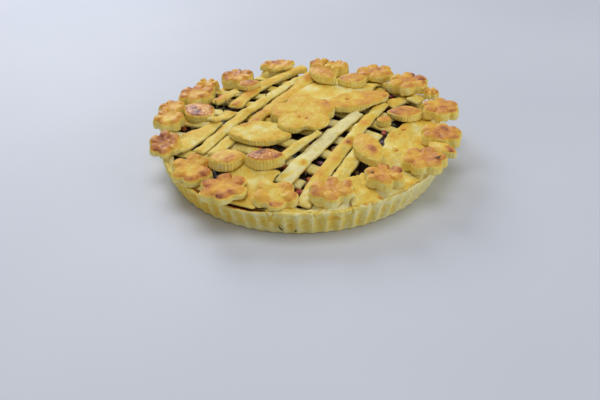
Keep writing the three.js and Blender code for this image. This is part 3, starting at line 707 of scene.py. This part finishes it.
def fold_edges(seed):
    """The fold's inner and outer edge in plan, by angle: the outer one lies just inside the rim, and the
    inner one a width further in, which swells in front and wavers by the grain."""
    angle = full_turn(FOLD_STEPS)
    ray = rays(angle)
    line = at_zero(ray * FOLD_LINE)
    front = np.exp(-((np.degrees(angle) - 280) / 17) ** 2)
    width = FOLD_WIDTH + 8 * front + 2.2 * grain(line, 14, seed) + 1.2 * grain(line, 5, seed + 1)
    outer = FOLD_RADIUS + 0.7 * grain(line, 6, seed + 2) - 6.5 * fold_gap(*ray.T)
    return ray * (outer - width)[:, None], ray * outer[:, None]


def fold_lift(x, y, bed):
    """How much higher than its bed the fold is heaped: under each flower it reaches up to the flower's under
    side, and falls away beside it, farther off at the back."""
    lift = np.zeros(x.shape)
    spread = 1 + 0.3 * step_up(y, 0, 40)
    for n in range(1, BORDER_FLOWERS + 1):
        under = under_side(node_triangles(f"border_flower_{n}"))
        middle = under.reshape(-1, 3).mean(axis=0)
        away = np.hypot(x - middle[0], y - middle[1])
        reach = np.linalg.norm(under[..., :2] - middle[:2], axis=-1).max()
        here = away < reach * spread
        room = np.maximum(height_on(under, x[here], y[here], np.min) - 0.3 - bed[here], 0)
        share = away[here] / (reach * spread[here])
        lift[here] = np.maximum(lift[here], room * (1 - step_up(share, 0.65, 1.0)))
    return lift * (1 - fold_gap(x, y))


def fold_bed(x, y):
    """The fold's bed: level with the rim outside, a little above the filling inside, and lumpy, most of all
    in front."""
    inside = np.clip((SLOPE_START - np.hypot(x, y)) / SLOPE_RUN, 0, 1)
    lumps = grains(np.stack([x, y, 0 * x], axis=-1), 87, (1, 11), (0.7, 4.5), (0.4, 2.4))
    front = np.exp(-((x - 8) / 22) ** 2) * (y < 0)
    bed = FOLD_TOP + inside * (dome_height(x, y) + 3.0 - FOLD_TOP) - 2.4 * fold_gap(x, y)
    return bed + (0.8 + 0.9 * front) * lumps


def fold_top(x, y):
    """The fold's upper side: its bed, heaped up under the flowers."""
    bed = fold_bed(x, y)
    return bed + fold_lift(x, y, bed)


left, right = fold_edges(80)
fold_heights = fold_top, lambda x, y: fold_bed(x, y) - FOLD_THICK
fold_spots = [(93, -107, 6, 0.3), (91, -101, 4, 0.2), (10, -134, 6, 0.15)]
skin, share = slab_skin(left, right, fold_heights, 13, 83, bulge=0.2, hoop=True)
brown, glaze = strip_brown(skin, share, 0.03, fold_spots, 85)
# Where the fold shrank away from the rim, its sides and under side are painted dark: painted shade of the
# gap.
painted_gap_shade = fold_gap(skin[..., 0], skin[..., 1]) * (1 - step_up(share, 0.5, 0.95))
brown = np.clip(brown + 0.9 * painted_gap_shade, 0, DARKEST)
put_skin("rim_fold", skin, satin_dough, "crust", "crust_case", hoop=True, brown=brown, glaze=glaze)


# The upper strips cross the lower ones. They are the same dough, cut wider in places, and being on top they
# took the egg wash and browned in patches. Below, each has its browning, its width in front and at the back
# as shares of the solid's, and its browned spots.
UPPER_LOOKS = {
    1: (-0.2, 1.0, 0.95, [(0, -77, 5, 0.4), (-17, -94, 6, 0.42), (-8, -89, 4, 0.35), (-1, -75, 5, 0.3),
        (11, -59, 6, 0.25), (31, -32, 6, 0.2)]),
    2: (0.08, 1.05, 0.95, [(60, -10, 6, 0.4), (42, -43, 5, 0.38), (27, -70, 4.5, 0.4),
        (14, -89, 6, 0.3), (72, 19, 6, 0.15), (52, -26, 5, 0.2)]),
    3: (0.03, 1.0, 1.0, [(40, -75, 5, 0.12), (32, -90, 5, 0.1)]),
    4: (0.06, 0.9, 0.75, [(-6, -51, 5, 0.15), (-18, -58, 5, 0.1)]),
    5: (0.12, 1.1, 0.9, [(-82, -11, 7, 0.2), (-65, 3, 7, 0.16), (-92, -32, 6, 0.1), (-52, 33, 6, 0.1)]),
    6: (0.03, 1.0, 1.0, []),
    7: (0.26, 1.0, 1.0, [(-39, 40, 7, 0.3), (-45, 1, 5, 0.4), (-42, 19, 6, 0.2), (-21, 68, 7, 0.2),
        (5, 91, 7, 0.28), (-7, 89, 6, 0.15)]),
    8: (0.24, 1.0, 1.0, [(-19, 135, 8, 0.25), (-41, 100, 7, 0.3), (-66, 42, 5, 0.3), (-53, 67, 7, 0.15),
        (-3, 148, 7, 0.2)]),
    9: (0.1, 1.0, 1.0, [(-113, -9, 7, 0.22), (-102, -1, 7, 0.16), (-91, 3, 5, 0.12)]),
    10: (0.12, 1.0, 1.0, [(-79, 27, 5, 0.3), (-84, 6, 5, 0.15)]),
    11: (0.2, 1.0, 1.0, [(-88, 57, 6, 0.2), (-73, 73, 6, 0.1)]),
    12: (0.18, 1.0, 1.0, [(98, 52, 6, 0.2), (107, 63, 5, 0.12)]),
    13: (0.06, 1.0, 1.0, []),
    14: (0.05, 1.0, 1.0, []),
}
UPPER_REACH = {1: (0, 20), 2: (4, 8), 3: (7, 14), 4: (6, 8), 7: (6, 10), 9: (20, 5), 12: (6, 6)}
UPPER_SLANT = {9: 8}
for n, (amount, front, back, spots) in UPPER_LOOKS.items():
    reach, slant = UPPER_REACH.get(n, (0, 0)), UPPER_SLANT.get(n, 0)
    put_strip(f"ribbon_{n}", f"upper_strip_{n}", 200 + n, amount, spots, front, back, reach, slant)


# Three wider pieces of the same rolled dough close the lid where the lattice is open: a band in front, a
# broad one at the back, and a crescent along the right rim whose inner edge tore as it was laid.
SHEET_POINTS = 61
BAND_WIDTH = 1.12
BAND_REACH = {1: (9, 0), 2: (0, 0)}
CRESCENT_ROW = 0.65
RIM_SHEETS = (1, 3)
FLAP_HEIGHT = 28.0
FLAP_THICK = 2.4
FLAP_START = 126
FLAP_END = 135


def ray_crossings(triangles, middle, angle):
    """How far from the middle, in plan, a ray at each angle meets the line of each side of the triangles,
    and whether it meets the side itself."""
    start, side = triangle_sides(triangles)
    start = start - middle
    ray = rays(angle)
    cut = ray[:, :1] * side[:, 1] - ray[:, 1:] * side[:, 0]
    cut = np.where(np.abs(cut) < 1e-9, 1e-9, cut)
    far = (start[:, 0] * side[:, 1] - start[:, 1] * side[:, 0]) / cut
    share = (start[:, 0] * ray[:, 1:] - start[:, 1] * ray[:, :1]) / cut
    return far, (share > -1e-6) & (share < 1 + 1e-6) & (far > 0)


def crescent_edges(node, seed):
    """The crescent's torn inner edge and its outer edge, by angle, and its heights: the nearest and the
    farthest crossing of a ray from the pie's axis with the solid's sides, both roughened by the grain."""
    triangles = node_triangles(node)
    bearing = np.mod(np.degrees(np.arctan2(triangles[..., 1], triangles[..., 0])) - 180, 360) + 180
    angle = np.radians(np.arange(bearing.min() + 0.1, bearing.max() - 0.1, CRESCENT_ROW))
    far, crossed = ray_crossings(triangles, np.zeros(2), angle)
    ray = rays(angle)
    inner = np.where(crossed, far, np.inf).min(axis=1)
    outer = np.where(crossed, far, -np.inf).max(axis=1)
    line = at_zero(ray * inner[:, None])
    inner = inner + 1.1 * grain(line, 4.5, seed) + 0.7 * grain(line, 2, seed + 1)
    outer = outer + 1.2 * grain(line, 6, seed + 2) + 0.9 * grain(line, 2.6, seed + 3)
    return ray * inner[:, None], ray * outer[:, None], solid_heights(triangles)


def pressed_down(heights):
    """A sheet's two heights, with its outermost part pressed down onto the rim as a wavy flap."""
    top, under = heights

    def lowered(x, y):
        """The upper side, drawn down to the flap by a smooth step of the radius."""
        flat = np.stack([x, y, 0 * x], axis=-1)
        flap = FLAP_HEIGHT + 0.9 * grain(flat, 9, 351) + 0.5 * grain(flat, 3.5, 352)
        return top(x, y) + step_up(np.hypot(x, y), FLAP_START, FLAP_END) * (flap - top(x, y))

    return lowered, lambda x, y: np.minimum(under(x, y), lowered(x, y) - FLAP_THICK)


# Cracks of the sheets, each as its plan point, its radius and its depth.
CRACKS = [
    (84.2, -44.9, 1.1, 2.4), (86, -46.6, 1.1, 2.4), (86.3, -48.6, 1.1, 2.6), (83.5, -51.3, 1.2, 2.2),
    (95, -13, 1.2, 1.6), (97, -11.5, 1.2, 1.7), (99, -10.5, 1.2, 1.4), (92, -20, 1.2, 1.2),
    (44.2, -130, 1.4, 2.0), (47.3, -129, 1.4, 2.2), (51, -127.3, 1.5, 2.4), (54.9, -125.6, 1.4, 2.2),
    (57.2, -124.4, 1.2, 1.6), (63.1, -117, 1.2, 1.7), (65.1, -118.6, 1.2, 2.3), (67.1, -120, 1.2, 2.3),
    (70, -120, 1.2, 2.3), (72.4, -119.5, 1.2, 2.5), (74.7, -119, 1.2, 2.1), (89.6, -106.5, 1.3, 1.9),
    (93, -103, 1.3, 2.3), (98, -98.6, 1.3, 1.9), (84.6, -49.9, 1.1, 2.2), (87.6, -47.2, 1.0, 1.6)]
SHEET_LOOKS = {
    1: (0.08, []),
    2: (0.05, [(18, 73, 10, 0.06)]),
    3: (0.08, [
        (97, -4, 8, 0.2), (86, -21, 5, 0.3), (102, -16, 9, 0.08), (93, -107, 6, 0.3), (91, -101, 4, 0.2)]),
}
for n, (amount, spots) in SHEET_LOOKS.items():
    node = f"dough_sheet_{n}"
    if n in BAND_REACH:
        left, right, heights = strip_edges(node, 300 + n, BAND_WIDTH, BAND_WIDTH, BAND_REACH[n])
    else:
        left, right, heights = crescent_edges(node, 300 + n)
    if n in RIM_SHEETS:
        heights = pressed_down(heights)
    skin, share = slab_skin(left, right, heights, SHEET_POINTS, 320 + n, bulge=0.3)
    # Cracks sink into the top and are painted darker by their depth: painted shade in them.
    sunk = spot_sum(skin, CRACKS) * step_up(share, 0.6, 1.0)
    brown, glaze = strip_brown(skin, share, amount, spots, 340 + n)
    skin[..., 2] -= sunk
    # Near the rim the lower part of the sheet is painted darker: painted shade of the crease where it meets
    # the rim.
    painted_rim_shade = step_up(np.hypot(skin[..., 0], skin[..., 1]), 130, 134) * (1 - step_up(share, 0.35, 0.75))
    brown = np.clip(brown + 0.28 * sunk + 0.4 * painted_rim_shade, 0, DARKEST)
    put_skin(f"sheet_{n}", skin, satin_dough, "dough", node, brown=brown, glaze=glaze)


# The leaves are cut from thicker dough with a small cutter whose edge leaves fine upright ribs. Their tops
# are brushed with egg, so they brown and shine, and their sides stay pale.
LEAF_STEPS = 240
ROUNDING = 5
RIB_PITCH = 3.1
TOP_ROWS = 20
# Rings of a cut-out, each as its share of the outline's reach and of the height.
UNDER_ROWS = [(0.3, 0), (0.65, 0), (0.9, 0), (0.965, 0.02)]
LEAF_SIDE = [
    (0.98, 0.08), (0.995, 0.2), (1.0, 0.34), (1.0, 0.48), (0.998, 0.6), (0.992, 0.71), (0.978, 0.8),
    (0.955, 0.87), (0.925, 0.925), (0.885, 0.965), (0.84, 0.99)]


def round_off(values, times):
    """Values round a ring, smoothed by the weights 1, 2, 1 that many times."""
    for _ in range(times):
        values = (np.roll(values, 1) + 2 * values + np.roll(values, -1)) / 4
    return values


def top_plane(triangles):
    """The plane of a solid's flat top: height as a constant and shares of x and y, fitted to the upward
    corners four times, each time without those that lie below it."""
    upper = triangles[facing_up(triangles) > 0.75].reshape(-1, 3)
    terms = np.stack([np.ones(len(upper)), upper[:, 0], upper[:, 1]], axis=1)
    kept = np.full(len(upper), True)
    for _ in range(4):
        plane = np.linalg.lstsq(terms[kept], upper[kept, 2], rcond=None)[0]
        kept = upper[:, 2] - terms @ plane > -0.35
    return plane


def cut_out_skin(node, steps, rounding, side, seed, rib=0.0, crease=0.0, uneven=0.02, lumps=0.4, dome=0.6):
    """A thick cut-out. Rings at shares of the outline's reach run from the under side, up the rows of its
    side, to the middle of the top; heights go from the solid's under side to its top plane. Ribs run up the
    side at even steps, creases sink from each notch of the outline towards the middle, each petal swells,
    the top domes a little, and lumps of three sizes roughen it. Returns the grid, its shares of height and
    of reach, and its lumps."""
    triangles = node_triangles(node)
    under = under_side(triangles)
    flat = under[..., :2]
    area = np.abs(np.cross(flat[:, 1] - flat[:, 0], flat[:, 2] - flat[:, 0]))[:, None]
    middle = (flat.mean(axis=1) * area).sum(axis=0) / area.sum()
    angle = full_turn(steps)
    ray = rays(angle)
    far, crossed = ray_crossings(triangles, middle, angle)
    reach = round_off(np.where(crossed, far, 0).max(axis=1), rounding)
    ring = at_zero(middle + reach[:, None] * ray)
    notch = np.clip((1 - reach / reach.max()) / 0.22, 0, 1)
    notch = notch ** 2.5 * (0.7 + 0.6 * grain(ring, 16, seed + 6))
    reach = reach * (1 + uneven * grain(ring, 13, seed)) + 0.25 * grain(ring, 3, seed + 1)
    reach = reach - crease * notch ** 1.6
    arc = np.cumsum(np.linalg.norm(ring - np.roll(ring, 1, axis=0), axis=1))
    ribs = rib * np.cos(2 * np.pi * np.round(arc[-1] / RIB_PITCH) * arc / arc[-1])
    top_rows = [(share, 1.0) for share in np.linspace(side[-1][0] - 0.04, 0.03, TOP_ROWS)]
    rows = np.array(UNDER_ROWS + side + top_rows)
    share, level = rows[:, :1], rows[:, 1:]
    on_side = (share > 0.93) & (level > 0.01) & (level < 0.97)
    radius = share * reach + on_side * ribs
    x, y = middle[0] + radius * np.cos(angle), middle[1] + radius * np.sin(angle)
    low = height_on(under, x, y, np.min)
    constant, by_x, by_y = top_plane(triangles)
    high = np.maximum(constant + by_x * x + by_y * y, low + 1.5)
    skin = np.stack([x, y, low + level * (high - low)], axis=-1)
    level, share = level * np.ones_like(x), share * np.ones_like(x)
    crown = step_up(level, 0.75, 1.0)
    sunk = 0.6 * crease * notch * step_up(share, 0.3, 0.95)
    relief = grains(skin, seed + 2, (1.3, 10), (0.9, 4.5), (0.5, 2.2))
    pillow = crease * (1 - np.clip(notch, 0, 1)) * np.exp(-((share - 0.66) / 0.22) ** 2)
    skin[..., 2] += crown * (lumps * relief - sunk + pillow + dome * (0.5 - share ** 2))
    swell = 0.25 * grain(skin, 4, seed + 5) * on_side
    skin[..., :2] += swell[..., None] * ray
    return skin, level, share, crown * relief


def glazed_brown(skin, level, share, relief, amount, edge, spots, seed):
    """Browning of a glazed cut-out: pale sides, and a top that takes on an amount, more along its edge and
    on its raised parts, in clouds of the grain, with the browned spots. Returns it and the glaze, which lies
    on the top."""
    crown = step_up(level, 0.86, 0.98)
    cloud = grains(skin, seed + 11, (0.15, 11), (0.1, 4.5)) + 0.05 * grain(skin, 2.2, seed + 16)
    spot = spot_sum(skin, spots) * (0.75 + 0.35 * grain(skin, 3.5, seed + 13))
    tone = amount + edge * step_up(share, 0.62, 0.93) + 0.05 * relief + cloud + spot
    brown = 0.10 + 0.05 * grain(skin, 6, seed + 14) + 0.08 * step_up(level, 0.5, 0.9) + crown * tone
    glaze = crown * np.clip(0.8 + 0.5 * grain(skin, 6, seed + 15) + 0.4 * spot, 0, 1)
    return np.clip(brown, 0, DARKEST), glaze


glazed_dough = baked_finish("egg_glazed_dough", 0.74, 0.18, 0.65, mirror=0.5)


def put_cut_out(name, node, look, seed, *outline, **form):
    """A glazed cut-out's piece, with its browning, how much more of it along the edge, its shine and its
    browned spots in look, and its steps, rounding and side in outline."""
    amount, edge, shine, spots = look
    skin, level, share, relief = cut_out_skin(node, *outline, seed, **form)
    brown, glaze = glazed_brown(skin, level, share, relief, amount, edge, spots, seed)
    put_skin(name, skin, glazed_dough, "glazed", node, brown=brown, glaze=shine * glaze)


LEAF_LOOKS = {
    1: (0.36, 0.04, 1.0, [(-105, 26, 13, 0.4), (-117, 36, 4, 0.35), (-102, 43, 5, 0.25)]),
    2: (0.16, 0.08, 0.5, [(-64, -72, 7, 0.28), (-76, -66, 6, 0.08), (-56, -77, 4, 0.15)]),
    3: (0.3, 0.06, 1.0, [(-38, -70, 8, 0.4), (-26, -78, 6, 0.25), (-48, -79, 5, 0.2)]),
    4: (0.14, 0.04, 0.35, [(62, -69, 5, 0.6), (59, -65, 4, 0.25), (61, -74, 4, 0.3), (51, -54, 7, 0.2),
        (55, -48, 5, 0.12)]),
    5: (0.32, 0.08, 0.6, [(96, 19, 7, 0.3), (86, 15, 4, 0.2), (106, 17, 5, 0.2)]),
    6: (0.3, 0.08, 0.6, [(24, 93, 7, 0.3), (15, 101, 5, 0.2), (30, 84, 4, 0.25)]),
    7: (0.28, 0.08, 0.6, [(52, 84, 7, 0.28), (62, 74, 5, 0.3), (43, 84, 4, 0.2)]),
    8: (0.28, 0.1, 0.7, [(-58, 83, 6, 0.35), (-50, 77, 4, 0.2)]),
    9: (0.06, 0.12, 0.5, [(133, -55, 5, 0.5), (136, -60, 4, 0.6), (126, -41, 5, 0.3)]),
}
for n, look in LEAF_LOOKS.items():
    put_cut_out(f"dough_leaf_{n}", f"leaf_{n}", look, 400 + 20 * n, LEAF_STEPS, ROUNDING, LEAF_SIDE,
                rib=0.3, lumps=0.45, dome=2.2)


# The border flowers are cut from the same thick dough and set close together round the rim. Baking puffed
# the petals and left a crease from each notch, and the egg wash browned their tops unevenly.
FLOWER_STEPS = 168
PUFFED_SIDE = [
    (0.985, 0.07), (0.998, 0.17), (1.0, 0.3), (1.0, 0.44), (0.998, 0.57), (0.99, 0.69), (0.975, 0.79),
    (0.953, 0.87), (0.925, 0.93), (0.89, 0.97), (0.85, 0.99)]
FLOWER_LOOKS = {
    1: (0.1, 0.08, 0.5, [(-16, -110, 7, 0.42), (-33, -133, 4, 0.45), (-27, -132, 4, 0.4),
        (-21, -131, 4, 0.35), (-14, -129, 4, 0.35), (-6, -122, 5, 0.2), (-40, -114, 4, 0.15)]),
    2: (0.24, 0.05, 0.6, [(22, -110, 7, 0.25), (11, -122, 6, 0.25), (27, -122, 7, 0.25),
        (38, -112, 5, 0.2), (19, -133, 4, 0.25)]),
    3: (0.31, 0.1, 0.15, [(-72, -123, 5, 0.36), (-82, -110, 6, 0.3), (-67, -88, 5, 0.3),
        (-55, -102, 5, 0.2), (-63, -117, 5, 0.25), (-79, -97, 5, 0.15)]),
    4: (0.3, 0.05, 0.5, [(70, -87, 6, 0.25), (76, -95, 6, 0.22), (65, -107, 6, 0.25),
        (80, -89, 5, 0.22), (60, -97, 4, 0.2), (85, -98, 3, 0.35)]),
    5: (0.22, 0.12, 0.25, [(-101, -55, 6, 0.3), (-85, -69, 6, 0.2), (-104, -94, 5, 0.25),
        (-92, -83, 6, 0.22), (-116, -59, 5, 0.15)]),
    6: (0.36, 0.05, 0.5, [(106, -62, 7, 0.28), (108, -77, 7, 0.28), (96, -81, 6, 0.22),
        (114, -71, 5, 0.2), (97, -93, 4, 0.25)]),
    7: (0.36, 0.06, 1.0, [(-131, -32, 9, 0.32), (-136, -46, 5, 0.3), (-125, -20, 5, -0.15),
        (-114, -30, 6, -0.25)]),
    8: (0.26, 0.05, 0.5, [(132, -21, 7, 0.28), (125, -32, 5, 0.22), (142, -21, 5, 0.2),
        (144, -37, 4, 0.25)]),
    9: (0.22, 0.1, 0.65, [(-142, 3, 5, 0.35), (-138, 17, 6, 0.2), (-142, -7, 4, 0.35),
        (-122, -4, 5, 0.15)]),
    10: (0.26, 0.06, 0.5, [(150, 14, 5, 0.35), (126, 31, 6, 0.22), (135, 20, 7, 0.2), (141, 10, 5, 0.3),
        (145, 36, 5, 0.25)]),
    11: (0.22, 0.1, 0.65, [(-145, 33, 4, 0.4), (-134, 54, 6, 0.25), (-140, 43, 4, 0.2)]),
    12: (0.12, 0.2, 0.5, [(136, 56, 3, 0.6), (139, 50, 3, 0.7), (131, 59, 4, 0.3)]),
    13: (0.26, 0.1, 0.65, [(-122, 72, 7, 0.3), (-117, 81, 5, 0.3), (-124, 59, 5, 0.25),
        (-96, 70, 5, 0.2), (-108, 58, 5, 0.2)]),
    14: (0.26, 0.06, 0.5, [(120, 89, 7, 0.35), (126, 77, 5, 0.5), (119, 58, 6, 0.35),
        (109, 79, 7, 0.18), (129, 69, 4, 0.3)]),
    15: (0.2, 0.1, 0.6, [(-112, 106, 4, 0.6), (-102, 96, 5, 0.25), (-96, 89, 4, 0.2)]),
    16: (0.26, 0.1, 0.65, [(-82, 113, 5, 0.35), (-66, 118, 5, 0.35), (-58, 108, 5, 0.3),
        (-72, 106, 5, 0.25), (-83, 99, 5, 0.25)]),
    17: (0.28, 0.06, 0.6, [(86, 113, 6, 0.4), (73, 109, 6, 0.25), (96, 99, 5, 0.3), (64, 113, 5, 0.2)]),
    18: (0.24, 0.08, 0.65, [(-28, 137, 5, 0.5), (-14, 139, 6, 0.3), (-39, 130, 5, 0.3),
        (-22, 128, 6, 0.2)]),
    19: (0.22, 0.08, 0.6, [(37, 136, 6, 0.3), (46, 131, 5, 0.25)]),
    20: (0.22, 0.08, 0.6, [(15, 138, 5, 0.3), (25, 129, 5, 0.2)]),
}
for n, look in FLOWER_LOOKS.items():
    put_cut_out(f"rim_flower_{n}", f"border_flower_{n}", look, 700 + 20 * n, FLOWER_STEPS, ROUNDING,
                PUFFED_SIDE, crease=1.7, uneven=0.07, lumps=0.6)


# The middle carries a large flower with two large leaves, cut from thinner dough by hand and baked pale
# gold, and a small knob of dough lies on the lattice to the right of it.
SHARP_SIDE = [
    (0.985, 0.08), (0.997, 0.2), (1.0, 0.35), (1.0, 0.5), (1.0, 0.64), (0.998, 0.76), (0.99, 0.86),
    (0.975, 0.93), (0.955, 0.97), (0.925, 0.995)]
# Each has its piece's name, its browning, how much more of it along the edge, the depth of its creases, how
# often its outline is rounded off, and its browned spots.
CENTRE_LOOKS = {
    "centre_flower": ("large_flower", 0.1, 0.05, 0.5, 7, [(23, 16, 9, 0.22), (27, -4, 7, 0.2),
        (5, 26, 8, 0.22), (-24, -6, 6, 0.22), (-17, 19, 7, 0.16), (-6, -30, 6, 0.12), (4, -36, 7, 0.15),
        (20, -31, 6, 0.1)]),
    "centre_leaf_1": ("large_leaf_1", 0.2, 0.06, 0.0, 6, [(35, 43, 7, 0.2), (72, 44, 9, 0.25),
        (86, 42, 7, 0.35), (57, 47, 8, 0.15), (46, 20, 9, 0.1)]),
    "centre_leaf_2": ("large_leaf_2", -0.01, 0.05, 0.0, 6, [(-65, -36, 6, 0.3), (-54, -17, 7, 0.35),
        (-34, -42, 8, 0.08), (-14, -29, 6, 0.1), (-50, -31, 6, 0.1)]),
    "dough_knob": ("small_knob", 0.15, 0.05, 0.0, 10, [(80, -1, 4, 0.25)]),
}
# Pricks in the large flower and a large leaf, each as its plan point, its radius and its depth.
PRICKS = [
    (-3.2, -8.7, 1.4, 1.3), (3.7, -11.6, 1.4, 1.2), (-6.7, -0.8, 1.4, 1.1), (-2.6, 1.5, 1.3, 1.1),
    (8, -5, 1.4, 0.9), (44.6, 30, 1.5, 1.4), (45.8, 31.5, 1.4, 1.3), (43.8, 32.5, 1.3, 1.0),
    (47.5, 32.6, 1.4, 1.0)]
for n, (node, (name, amount, edge, crease, rounding, spots)) in enumerate(CENTRE_LOOKS.items()):
    seed = 1200 + 20 * n
    skin, level, share, relief = cut_out_skin(node, LEAF_STEPS, rounding, SHARP_SIDE, seed, rib=0.3,
                                              crease=crease, uneven=0.03, lumps=0.45)
    brown, glaze = glazed_brown(skin, level, share, relief, amount, edge, spots, seed)
    # The pricks sink into the top and are painted darker by their depth: painted shade in the holes.
    sunk = spot_sum(skin, PRICKS) * step_up(level, 0.75, 1.0)
    skin[..., 2] -= sunk
    brown = np.clip(brown + 0.25 * sunk, 0, DARKEST)
    put_skin(name, skin, satin_dough, "dough", node, brown=brown, glaze=0.6 * glaze)


# The pie stands on a plain pale floor in soft daylight: a broad cool light behind it on the left, a wide
# pale one above, one from the right, a faint one from the left, and a dim sky all round.
FLOOR_HALF = 6.0
FLOOR_GAP = 0.0003


def pale_floor():
    """A flat square floor just under the pie's foot, with a faint variation in its pale tone."""
    half, low = FLOOR_HALF, cad_box[0][2] - FLOOR_GAP
    mesh = bpy.data.meshes.new("pale_floor")
    mesh.from_pydata([(-half, -half, low), (half, -half, low), (half, half, low), (-half, half, low)], [],
                     [(0, 1, 2, 3)])
    finish, tree, place = new_finish("pale_floor")
    tones = [(0.3, linear(200, 203, 213)), (0.7, linear(206, 209, 218))]
    colour = add_ramp(tree, add_noise(tree, place, 3.0, 2.0), tones)
    add_surface(tree, {"Base Color": colour, "Roughness": 0.6})
    mesh.materials.append(finish)
    put_object("pale_floor", mesh)


pale_floor()


def soft_light(name, place, size, watts, colour):
    """A square area light at a place in metres, turned to look at the pie's foot."""
    lamp = bpy.data.lights.new(name, "AREA")
    lamp.size, lamp.energy, lamp.color = size, watts, colour
    holder = put_object(name, lamp)
    holder.location = place
    x, y, z = place
    holder.rotation_euler = (np.arctan2(np.hypot(x, y), z), 0, np.arctan2(x, -y))


soft_light("back_light", (-0.9, 2.0, 1.3), 1.2, 33, (0.88, 0.93, 1.0))
soft_light("top_light", (0.0, 0.1, 2.0), 1.3, 15, (1.0, 0.99, 0.97))
soft_light("right_light", (2.0, -0.8, 0.7), 1.3, 16, (0.95, 0.98, 1.0))
soft_light("left_light", (-1.6, -1.6, 0.8), 1.5, 5, (1.0, 0.98, 0.94))
world = bpy.data.worlds.new("dim_sky")
bpy.context.scene.world = world
world.use_nodes = True
sky = world.node_tree.nodes["Background"].inputs
sky["Color"].default_value = (0.9, 0.94, 1.0, 1.0)
sky["Strength"].default_value = 0.26
bpy.context.scene.view_settings.view_transform = "Standard"

camera_lens = bpy.data.cameras.new("camera")
camera_lens.lens = 44.4
camera_lens.sensor_width = 36.0
camera = put_object("camera", camera_lens)
camera.location = (0.0, -0.64101, 0.37472)
camera.rotation_euler = np.radians((56.3636, 1.2457, -0.4054))
bpy.context.scene.camera = camera
